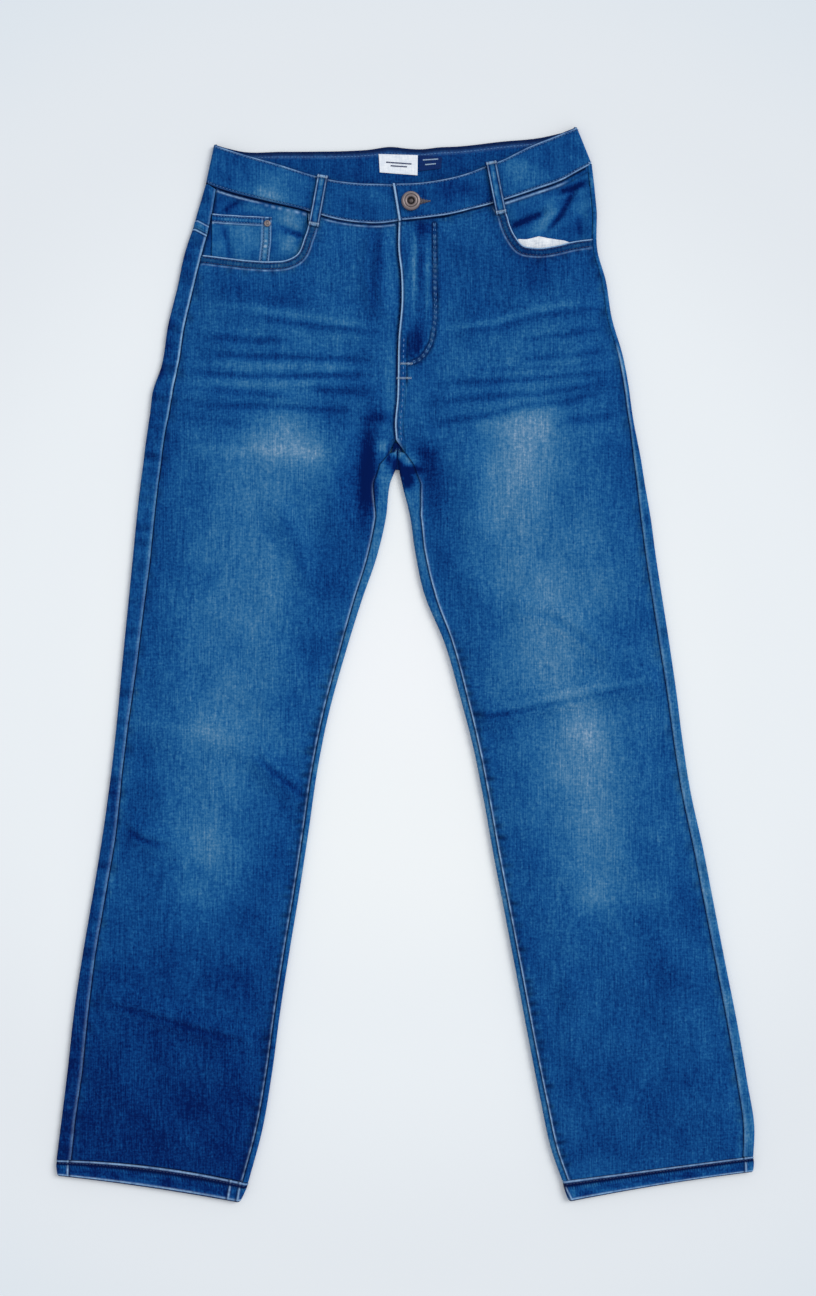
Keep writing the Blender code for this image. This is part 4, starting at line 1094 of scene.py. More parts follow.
def mesh_value(tree: bpy.types.NodeTree, name: str) -> Socket:
    """Value of a mesh attribute."""
    return add_node(tree, "ShaderNodeAttribute", {"attribute_name": name}).outputs["Fac"]


def noise_value(tree: bpy.types.NodeTree, place: Socket, scale: float, detail: float = 2.0,
                roughness: float = 0.5) -> Socket:
    """Value of a noise at a place."""
    settings = {"in:Scale": scale, "in:Detail": detail, "in:Roughness": roughness}
    return add_node(tree, "ShaderNodeTexNoise", settings, {"Vector": place}).outputs["Fac"]


def colour_ramp(tree: bpy.types.NodeTree, factor: Socket, stops: list, ease: bool = False) -> Socket:
    """Colour that follows a factor.

    Args:
        tree: the node tree.
        factor: the socket that drives it.
        stops: place and linear colour of each stop.
        ease: soften the steps between the stops.

    Returns:
        The colour's socket.
    """
    ramp = add_node(tree, "ShaderNodeValToRGB", None, {"Fac": factor})
    if ease:
        ramp.color_ramp.interpolation = "EASE"
    elements = ramp.color_ramp.elements
    while len(elements) < len(stops):
        elements.new(0.5)
    for element, (spot, colour) in zip(elements, stops):
        element.position = spot
        element.color = colour
    return ramp.outputs["Color"]


def add_bump(tree: bpy.types.NodeTree, shader: bpy.types.Node, height: Socket, strength: float,
             distance: float) -> None:
    """Lead a height into the shader's normal."""
    settings = {"in:Strength": strength, "in:Distance": distance}
    bump = add_node(tree, "ShaderNodeBump", settings, {"Height": height})
    tree.links.new(bump.outputs[0], shader.inputs["Normal"])


@dataclass(frozen=True)
class DenimFinish:
    """Indigo warp-faced stretch twill, garment washed and sanded.

    The wash takes the indigo off raised places, so seams show a pale line with
    a dark one beside it, and the white weft shows as fine grain.
    """

    name: str
    turn: float = 0.0
    # Warp, weft, specks and clouds: width, length, detail and share of the tone.
    # Warp yarns are 0.35 mm apart; drawn at 1.1 mm, the least that shows
    layers: tuple[tuple[float, float, float, float], ...] = (
        (1.1, 26.0, 3.0, 0.60), (9.0, 1.3, 2.0, 0.26), (1.9, 2.3, 2.0, 0.62), (26.0, 34.0, 3.0, 0.24),
    )
    ramp: tuple[tuple[float, str], ...] = (
        (0.00, "#001750"), (0.10, "#022460"), (0.20, "#05326f"), (0.30, "#093f7c"),
        (0.40, "#104b88"), (0.50, "#1b5991"), (0.60, "#2a6699"), (0.70, "#3c729f"),
        (0.80, "#4f7ea6"), (0.90, "#668cae"), (1.00, "#88a2be"),
    )
    worn_colour: str = "#96badf"
    dark_colour: str = "#01103c"
    grain: float = 1.0
    # Twill ribs run up to the right at the usual steep angle
    rib_turn: float = 28.0
    rib_pitch: float = 1.4

    def build(self) -> bpy.types.Material:
        """Make the material."""
        finish, tree, shader = new_surface(self.name)
        place = place_of(tree)
        tone = mesh_value(tree, "tone")
        noises = []
        for width, length, detail, share in self.layers:
            mapping = add_node(
                tree, "ShaderNodeMapping",
                {"in:Rotation": (0.0, 0.0, math.radians(self.turn)),
                 "in:Scale": (1.0 / (width * MM), 1.0 / (length * MM), 1.0 / (width * MM))},
                {"Vector": place})
            noises.append(noise_value(tree, mapping.outputs[0], 1.0, detail, 0.6))
            centred = compute(tree, "SUBTRACT", noises[-1], 0.5)
            tone = compute(tree, "MULTIPLY_ADD", centred, share * self.grain, tone)
        warp, _, speck, _ = noises
        colour = colour_ramp(tree, tone, [(spot, linear(shade)) for spot, shade in self.ramp])
        spotted = compute(tree, "MULTIPLY_ADD", speck, 1.1, 0.42)
        worn = compute(tree, "MULTIPLY", mesh_value(tree, "worn"), spotted, clamp=True)
        # Besides the wash's seam lines, the dark values carry painted shade at hollows, creases and edges,
        # and the tone carries painted highlights on some ridges
        for amount, over in ((worn, self.worn_colour), (mesh_value(tree, "dark"), self.dark_colour)):
            colour = add_node(
                tree, "ShaderNodeMix", {"data_type": "RGBA", "in:7": linear(over)},
                {"0": amount, "6": colour}).outputs[2]
        tree.links.new(colour, shader.inputs["Base Color"])
        ribs = add_node(
            tree, "ShaderNodeMapping",
            {"in:Rotation": (0.0, 0.0, math.radians(self.turn + self.rib_turn))}, {"Vector": place})
        # The wave texture draws twenty times finer than its scale says
        wave = add_node(
            tree, "ShaderNodeTexWave",
            {"in:Scale": 1.0 / (self.rib_pitch * MM) / 20.0, "in:Distortion": 0.6, "in:Detail": 1.0},
            {"Vector": ribs.outputs[0]}).outputs["Fac"]
        height = compute(tree, "ADD", compute(tree, "MULTIPLY_ADD", wave, 0.35, warp), speck)
        add_bump(tree, shader, height, 0.55, 0.00035)
        shader.inputs["Roughness"].default_value = 0.9
        shader.inputs["Specular IOR Level"].default_value = 0.02
        shader.inputs["Sheen Weight"].default_value = 0.008
        shader.inputs["Sheen Roughness"].default_value = 0.7
        return finish


@dataclass(frozen=True)
class ThreadFinish:
    """Polyester-wrapped cotton sewing thread: round, slightly glossy twist."""

    thread: Thread
    # Twist of the plies, drawn at 0.8 mm so that it shows at all
    twist: float = 0.8

    def build(self) -> bpy.types.Material:
        """Make the material."""
        finish, tree, shader = new_surface("thread_" + self.thread.name.lower())
        colour = linear(self.thread.value)[:3]
        shades = [tuple(min(1.0, c * share) for c in colour) + (1.0,) for share in (0.6, 1.45)]
        twist = noise_value(tree, place_of(tree), 1.0 / (self.twist * MM))
        tree.links.new(
            colour_ramp(tree, twist, list(zip((0.0, 1.0), shades))), shader.inputs["Base Color"])
        shader.inputs["Roughness"].default_value = 0.6
        shader.inputs["Sheen Weight"].default_value = 0.2
        return finish


@dataclass(frozen=True)
class PlainWeaveFinish:
    """Plain-woven cotton or polyester cloth: matt, with a fine square grain."""

    name: str
    colour: str
    shade: str
    # Threads of about 0.25 mm, drawn at 0.9 mm, the least that shows
    pitch: float = 0.9
    roughness: float = 0.9

    def build(self) -> bpy.types.Material:
        """Make the material."""
        finish, tree, shader = new_surface(self.name)
        place = place_of(tree)
        threads = []
        for stretch in ((1.0, 0.12, 1.0), (0.12, 1.0, 1.0)):
            mapping = add_node(
                tree, "ShaderNodeMapping",
                {"in:Scale": tuple(s / (self.pitch * MM) for s in stretch)}, {"Vector": place})
            threads.append(noise_value(tree, mapping.outputs[0], 1.0))
        mixed = compute(tree, "MULTIPLY", *threads)
        stops = [(0.08, linear(self.shade)), (0.36, linear(self.colour))]
        tree.links.new(colour_ramp(tree, mixed, stops), shader.inputs["Base Color"])
        add_bump(tree, shader, mixed, 0.22, 0.0002)
        shader.inputs["Roughness"].default_value = self.roughness
        shader.inputs["Specular IOR Level"].default_value = 0.08
        return finish


@dataclass(frozen=True)
class AgedCopperFinish:
    """Brass plated in antique copper, tumbled: dark hollows, rubbed rims."""

    name: str
    hollow: str = "#1c181b"
    rubbed: str = "#8a7f80"
    speck: float = 1.6

    def build(self) -> bpy.types.Material:
        """Make the material."""
        finish, tree, shader = new_surface(self.name)
        grime = noise_value(tree, place_of(tree), 1.0 / (self.speck * MM), 4.0)
        rub = compute(tree, "MULTIPLY_ADD", grime, 0.5, mesh_value(tree, "worn"), clamp=True)
        stops = [(0.25, linear(self.hollow)), (1.0, linear(self.rubbed))]
        tree.links.new(colour_ramp(tree, rub, stops), shader.inputs["Base Color"])
        shader.inputs["Metallic"].default_value = 0.75
        shader.inputs["Roughness"].default_value = 0.48
        add_bump(tree, shader, grime, 0.3, 0.0001)
        return finish


@dataclass(frozen=True)
class PaperFloorFinish:
    """Matt coated background board: very pale; a painted falloff of light makes it darker and a little bluer
    away from the middle.
    """

    # Distance from the middle in metres, colour there with the painted falloff of light
    rings: tuple[tuple[float, str], ...] = (
        (0.0, "#f1f4f8"), (0.16, "#eff3f6"), (0.34, "#e9eef3"),
        (0.55, "#e2e7ed"), (0.75, "#dbe3eb"), (1.2, "#cfd9e3"),
    )

    def build(self) -> bpy.types.Material:
        """Make the material."""
        finish, tree, shader = new_surface("background_board_painted_falloff")
        away = add_node(tree, "ShaderNodeVectorMath", {"operation": "LENGTH"}, {"0": place_of(tree)})
        limit = self.rings[-1][0]
        share = compute(tree, "DIVIDE", away.outputs["Value"], limit, clamp=True)
        stops = [(spot / limit, linear(shade)) for spot, shade in self.rings]
        tree.links.new(colour_ramp(tree, share, stops, ease=True), shader.inputs["Base Color"])
        shader.inputs["Roughness"].default_value = 1.0
        shader.inputs["Specular IOR Level"].default_value = 0.0
        return finish


class Wardrobe:
    """All the finishes, each made once."""

    def __init__(self) -> None:
        """Make the finishes."""
        self.denim = {
            Side.RIGHT: DenimFinish("washed_denim_right_leg", -8.0).build(),
            Side.LEFT: DenimFinish("washed_denim_left_leg", 9.0).build(),
        }
        self.band = DenimFinish("washed_denim_waistband", 90.0, grain=0.9).build()
        self.facing = DenimFinish("washed_denim_facing", 4.0, grain=0.8).build()
        self.thread = {thread: ThreadFinish(thread).build() for thread in Thread}
        self.bag = PlainWeaveFinish("white_pocket_cotton", "#eef2f7", "#c3ccd9").build()
        self.white_label = PlainWeaveFinish("white_woven_tape", "#eef3fa", "#cdd7e6", 0.7, 0.7).build()
        self.blue_label = PlainWeaveFinish("navy_woven_tape", "#0a2b66", "#061f50", 0.7, 0.7).build()
        self.metal = AgedCopperFinish("antique_copper_plate").build()
        self.floor = PaperFloorFinish().build()


# ---- Stitches ----


@dataclass(frozen=True)
class StitchRow:
    """A run of lockstitch: its path and the size of a stitch, in millimetres."""

    path: Array
    pitch: float = 3.0
    length: float = 2.3
    width: float = 0.75
    height: float = 0.5
    turn: float = 0.0


class StitchTree:
    """Geometry Nodes that lay stitches on the paths of a mesh of edges."""

    def __init__(self) -> None:
        """Build the tree."""
        tree = bpy.data.node_groups.new("lockstitch_rows", "GeometryNodeTree")
        self.tree = tree
        face = tree.interface
        face.new_socket("Geometry", in_out="INPUT", socket_type="NodeSocketGeometry")
        for name, value in (("Pitch", 3.0), ("Length", 2.3), ("Width", 0.75), ("Height", 0.5), ("Turn", 0.0)):
            socket = face.new_socket(name, in_out="INPUT", socket_type="NodeSocketFloat")
            socket.default_value = value
        face.new_socket("Seed", in_out="INPUT", socket_type="NodeSocketInt").default_value = 7
        face.new_socket("Thread", in_out="INPUT", socket_type="NodeSocketMaterial")
        face.new_socket("Geometry", in_out="OUTPUT", socket_type="NodeSocketGeometry")
        entry = add_node(tree, "NodeGroupInput").outputs
        to_curve = add_node(tree, "GeometryNodeMeshToCurve", None, {"Mesh": entry["Geometry"]})
        points = add_node(
            tree, "GeometryNodeCurveToPoints", {"mode": "LENGTH"},
            {"Curve": to_curve.outputs[0], "Length": entry["Pitch"]})
        bead = add_node(
            tree, "GeometryNodeMeshUVSphere", {"in:Segments": 6, "in:Rings": 4, "in:Radius": 0.5})
        facing = add_node(
            tree, "FunctionNodeAlignRotationToVector", {"axis": "X", "pivot_axis": "Z"},
            {"Vector": points.outputs["Tangent"]})
        wobble = add_node(
            tree, "FunctionNodeRandomValue", {"data_type": "FLOAT", "in:2": -0.07, "in:3": 0.07},
            {"Seed": entry["Seed"]})
        total = compute(tree, "ADD", wobble.outputs[1], entry["Turn"])
        spin = add_node(tree, "ShaderNodeCombineXYZ", None, {"Z": total})
        turned = add_node(
            tree, "FunctionNodeRotateRotation", {"rotation_space": "LOCAL"},
            {"Rotation": facing.outputs[0], "Rotate By": spin.outputs[0]})
        stretch = add_node(
            tree, "FunctionNodeRandomValue", {"data_type": "FLOAT", "in:2": 0.86, "in:3": 1.1},
            {"Seed": entry["Seed"]})
        longer = compute(tree, "MULTIPLY", stretch.outputs[1], entry["Length"])
        size = add_node(
            tree, "ShaderNodeCombineXYZ", None, {"X": longer, "Y": entry["Width"], "Z": entry["Height"]})
        placed = add_node(
            tree, "GeometryNodeInstanceOnPoints", None,
            {"Points": points.outputs["Points"], "Instance": bead.outputs["Mesh"],
             "Rotation": turned.outputs[0], "Scale": size.outputs[0]})
        real = add_node(tree, "GeometryNodeRealizeInstances", None, {"Geometry": placed.outputs[0]})
        dressed = add_node(
            tree, "GeometryNodeSetMaterial", None, {"Geometry": real.outputs[0], "Material": entry["Thread"]})
        add_node(tree, "NodeGroupOutput", None, {"Geometry": dressed.outputs[0]})

    def key(self, name: str) -> str:
        """Identifier of an input socket by its name."""
        for item in self.tree.interface.items_tree:
            if item.name == name and item.in_out == "INPUT":
                return item.identifier
        raise KeyError(name)

    def sew(self, name: str, rows: list[StitchRow], thread: bpy.types.Material,
            seed: int) -> bpy.types.Object:
        """Lay rows of stitches and turn them into one plain mesh.

        Args:
            name: the piece's name.
            rows: the rows to sew.
            thread: the thread's material.
            seed: fixed seed of the small unevenness.

        Returns:
            The piece.
        """
        meshes = []
        for index, row in enumerate(rows):
            points = row.path * MM
            mesh = bpy.data.meshes.new(f"{name}_path_{index}")
            mesh.from_pydata(points.tolist(), [(i, i + 1) for i in range(len(points) - 1)], [])
            holder = bpy.data.objects.new(mesh.name, mesh)
            bpy.context.scene.collection.objects.link(holder)
            modifier = holder.modifiers.new("stitches", "NODES")
            modifier.node_group = self.tree
            for key, value in (
                ("Pitch", row.pitch * MM), ("Length", row.length * MM), ("Width", row.width * MM),
                ("Height", row.height * MM), ("Turn", row.turn),
            ):
                modifier[self.key(key)] = value
            modifier[self.key("Seed")] = seed + index
            modifier[self.key("Thread")] = thread
            graph = bpy.context.evaluated_depsgraph_get()
            made = bpy.data.meshes.new_from_object(holder.evaluated_get(graph))
            meshes.append(made)
            bpy.data.objects.remove(holder, do_unlink=True)
        return join_meshes(name, meshes, thread)


def join_meshes(name: str, meshes: list[bpy.types.Mesh], finish: bpy.types.Material) -> bpy.types.Object:
    """Join plain meshes into one smooth piece with one finish.

    Args:
        name: the piece's name.
        meshes: meshes in metres.
        finish: its material.

    Returns:
        The piece.
    """
    points, faces, base = [], [], 0
    for mesh in meshes:
        places = np.empty(len(mesh.vertices) * 3, dtype=np.float32)
        mesh.vertices.foreach_get("co", places)
        points.append(places.reshape(-1, 3))
        faces += [[base + i for i in polygon.vertices] for polygon in mesh.polygons]
        base += len(mesh.vertices)
        bpy.data.meshes.remove(mesh)
    return make_piece(name, np.concatenate(points).astype(float) / MM, faces, finish, None, 80.0)


def lifted(line: Array, top: object, rise: float = 0.12) -> Array:
    """Path in space over a line, just above a height rule.

    Args:
        line: points in the plane.
        top: rule that gives the height at X and Y.
        rise: how far above it the path runs.

    Returns:
        N by 3 points.
    """
    return np.stack([line[:, 0], line[:, 1], top(line[:, 0], line[:, 1]) + rise], 1)


def offset_line(line: Array, distance: float) -> Array:
    """Line moved to its left by a distance."""
    ahead = np.gradient(line[:, :2], axis=0)
    ahead /= np.maximum(np.hypot(ahead[:, 0], ahead[:, 1]), 1e-9)[:, None]
    return line[:, :2] + np.stack([-ahead[:, 1], ahead[:, 0]], 1) * distance


# ---- Sub-assemblies ----


@dataclass
class SubAssembly:
    """What every sub-assembly has: finishes, the stitch tree and its own pieces."""

    finishes: Wardrobe
    stitches: StitchTree
    pieces: dict[str, bpy.types.Object] = field(default_factory=dict)

    def dress(self, key: str, piece: bpy.types.Object, slot: str, node: str = "") -> None:
        """Keep a piece, attach it to the root body and hide the solid that it replaces.

        Args:
            key: name that it is kept under.
            piece: the piece.
            slot: not used.
            node: the solid that it replaces, if there is one.
        """
        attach(piece, "root")
        if node:
            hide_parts(node)
        self.pieces[key] = piece

    def sew_rows(self, name: str, rows: list[StitchRow], colour: Thread, seed: int, slot: str) -> None:
        """Sew rows of stitches as a piece of its own."""
        self.dress(name, self.stitches.sew(name, rows, self.finishes.thread[colour], seed), slot)


@dataclass
class Fronts(SubAssembly):
    """Both front panels, with the fly band, pocket mouths and their stitching."""

    spacing: float = 1.9

    def outline(self, leg: LegPattern) -> Array:
        """Outline of one front: waist, fly edge, inseam, hem, outseam, mouth.

        Args:
            leg: the leg's pattern.

        Returns:
            Points in the plane, about 2 mm apart.
        """
        sign = leg.sign
        left = leg.side is Side.LEFT
        mouth = LEFT_MOUTH if left else RIGHT_MOUTH
        waist = curve(LEFT_WAIST_SEAM if left else RIGHT_WAIST_SEAM[:-1])
        waist = waist[sign * waist[:, 0] < abs(mouth[0][0]) - 1.5]
        if left:
            waist = waist[:-1]
            fly = curve(FLY_EDGE)
        else:
            waist = waist[waist[:, 0] < -8.0]
            fly_all = curve(FLY_EDGE)
            upper = fly_all[fly_all[:, 1] > UNDERLAP_END] + np.array([UNDERLAP, 0.0])
            lower = fly_all[fly_all[:, 1] < UNDERLAP_END - 12.0] - np.array([GAP, 0.0])
            fly = np.concatenate([upper, lower])
        inseam = leg.inseam + np.array([sign * GAP / 2, 0.0])
        shares = np.linspace(1.0, 0.0, 96)
        hem = leg.hem_line(shares)
        outer_x = leg.panel[-1][0] - sign * (leg.panel[-1][2] + GAP / 2)
        inner_x = leg.panel[-1][4] + sign * (leg.panel[-1][6] + GAP / 2)
        hem = hem[(sign * (hem[:, 0] - inner_x) > 0.6) & (sign * (outer_x - hem[:, 0]) > 0.6)]
        outseam = leg.outseam[::-1] - np.array([sign * GAP / 2, 0.0])
        outseam = outseam[outseam[:, 1] < mouth[-1][1] - 1.5]
        scoop = curve(mouth[::-1])
        corner = np.array([[inner_x, leg.panel[-1][5] + 0.4]])
        return np.concatenate([waist, fly, inseam[:-1], corner, hem, outseam, scoop])

    def wear(self, leg: LegPattern) -> Wear:
        """Seam lines and puckers of one front."""
        sign = leg.sign
        left = leg.side is Side.LEFT
        mouth = curve(LEFT_MOUTH if left else RIGHT_MOUTH)
        waist = curve(LEFT_WAIST_SEAM if left else RIGHT_WAIST_SEAM[:-1])
        panel = -sign
        below = sign
        marks = [
            SeamMark(mouth, panel * 4.1, 2.9, dark=0.45, power=8, patchy=0.1),
            SeamMark(mouth, panel * 3.4, 3.9, rise=0.5, power=8),
            SeamMark(mouth, panel * 0.5, 0.55, worn=1, rise=0.1, patchy=0.15),
            SeamMark(mouth, panel * 1.9, 0.65, dark=0.85, rise=-0.35),
            SeamMark(mouth, panel * 4.3, 1.2, tone=0.30, patchy=0.5, pitch=3.2),
            SeamMark(mouth, panel * 6.6, 0.65, dark=0.85, rise=-0.4),
            SeamMark(mouth, panel * 8.2, 0.6, worn=0.28, patchy=0.6),
            SeamMark(waist, below * 0.6, 0.9, dark=0.85),
            SeamMark(waist, below * 3.6, 0.9, dark=0.30, patchy=0.6),
            SeamMark(leg.inseam, sign * 0.7, 0.85, worn=0.72 if left else 0.45, rise=0.1, patchy=0.3,
                     start=18.0, fade=50.0),
            SeamMark(leg.inseam, sign * 2.8, 0.9, dark=0.50, rise=-0.15, patchy=0.5, start=150, fade=60),
            SeamMark(leg.outseam, -sign * 0.5, 0.75, dark=0.95, start=130.0 if left else -FAR),
            SeamMark(leg.outseam, -sign * 3.4, 2.4, tone=0.10, patchy=0.5, start=430, fade=120),
        ]
        fly = curve(FLY_EDGE)
        if left:
            marks.append(SeamMark(leg.outseam, -sign * 0.5, 0.9, dark=0.30, end=140))
            stitch = curve(FLY_STITCH)
            marks += [
                SeamMark(fly, 0.7, 0.75, worn=1.15, rise=0.2, patchy=0.08),
                SeamMark(fly, 2.3, 0.7, dark=0.7, rise=-0.2),
                SeamMark(fly, 8.3, 0.9, dark=0.80, patchy=0.3, start=98, end=152, fade=8),
                SeamMark(fly, 7.4, 0.7, dark=0.40, patchy=0.5, start=146),
                SeamMark(stitch, 0.2, 3, dark=0.50, power=4, patchy=0.3),
                SeamMark(stitch, -2.1, 0.8, dark=0.75, rise=-0.3, patchy=0.5),
                SeamMark(stitch, 2.1, 0.9, dark=0.75, rise=-0.3, patchy=0.5),
                SeamMark(stitch, 0, 1.1, tone=0.30, worn=0.22, rise=0.15, pitch=5.2, patchy=0.6),
                SeamMark(stitch, -3.9, 0.8, tone=0.22, patchy=0.6, start=100),
            ]
        else:
            # Painted shade on the underlap beside the left front's fly edge
            marks.append(SeamMark(fly, -1, 1.3, dark=0.95))
            marks.append(SeamMark(waist, below * 2.3, 0.6, worn=0.55, rise=0.15, patchy=0.5, start=104))
        length = float(np.sum(np.hypot(*np.diff(leg.inseam, axis=0).T)))
        puckers = [
            Puckers(leg.inseam, 170.0, length - 4.0, 8.4, 0.9, 13.0, sign, 0.1, 71 + sign, 0.9),
            Puckers(leg.outseam, 40.0, 850.0, 17.0, 0.35, 10.0, panel, 0.3, 75 + sign),
            Puckers(waist, 4.0, 170.0, 8.5, 0.45, 11.0, below, 0.0, 79 + sign),
            Puckers(offset_line(mouth, panel * 8.0), 12.0, 120.0, 11.0, 0.3, 9.0, panel, 0.0, 83 + sign),
        ]
        return Wear(leg_tone, marks, puckers)

    @staticmethod
    def fine_rows(leg: LegPattern) -> list[FineRows]:
        """Strips of fine mesh along one front's seams."""
        left = leg.side is Side.LEFT
        panel = -leg.sign
        mouth = np.array(LEFT_MOUTH if left else RIGHT_MOUTH)
        waist = np.array(LEFT_WAIST_SEAM if left else RIGHT_WAIST_SEAM[:-1])
        strips = [
            FineRows(mouth, *sorted((panel * 0.5, panel * 9.5))),
            FineRows(waist, *sorted((leg.sign * 1.5, leg.sign * 4.5))),
            FineRows(leg.inseam[::6], *sorted((leg.sign * 1.5, leg.sign * 8.5)), 0.9),
        ]
        if left:
            strips += [
                FineRows(np.array(FLY_STITCH), -3.2, 3.2), FineRows(np.array(FLY_EDGE), 2.5, 9.0, 0.7)]
        return strips

    def build(self) -> None:
        """Make both fronts and sew them."""
        for leg, top in ((RIGHT_LEG, Relief.front_right), (LEFT_LEG, Relief.front_left)):
            word = leg.side.name.lower()
            sheet = ClothSheet(
                f"front_{word}_denim", self.outline(leg), top, DENIM, self.spacing, self.wear(leg),
                fine=self.fine_rows(leg))
            piece = sheet.build(self.finishes.denim[leg.side])
            self.dress(word, piece, "denim_front", f"front_{word}")
        self.sew()

    def sew(self) -> None:
        """Stitch the mouths, the fly and the centre front seam."""
        navy, blue = [], []
        for leg, top, mouth in (
            (RIGHT_LEG, Relief.front_right, RIGHT_MOUTH), (LEFT_LEG, Relief.front_left, LEFT_MOUTH),
        ):
            scoop = curve(mouth)[2:-2]
            for distance in (2.0, 6.5):
                navy.append(StitchRow(lifted(offset_line(scoop, -leg.sign * distance), top, 0.15), width=0.6))
        fly = curve(FLY_STITCH, 1.5)
        for distance in (0.9, -0.9):
            blue.append(StitchRow(lifted(offset_line(fly, distance), Relief.front_left, 0.1), 5.2, 2.6, 0.55))
        edge = curve(FLY_EDGE)
        lower = edge[edge[:, 1] < 292.0]
        blue.append(StitchRow(lifted(offset_line(lower, 4.9), Relief.front_left, 0.2), 4.8, 3.0, 1.0))
        self.sew_rows("stitches_pocket_mouths", navy, Thread.NAVY, 3, "denim_front")
        self.sew_rows("stitches_fly", blue, Thread.BLUE, 4, "denim_front")
        tacks = []
        for x0, x1, y in ((-7.5, 5.0, 257.5), (-4.0, 6.0, 270.5)):
            tacks.append(StitchRow(
                lifted(np.array([(x, y) for x in np.linspace(x0, x1, 9)]), Relief.front_left, 0.4),
                1.1, 2.4, 0.7, 0.7, math.radians(80.0)))
        self.sew_rows("bar_tacks_fly", tacks, Thread.PALE, 5, "denim_front")


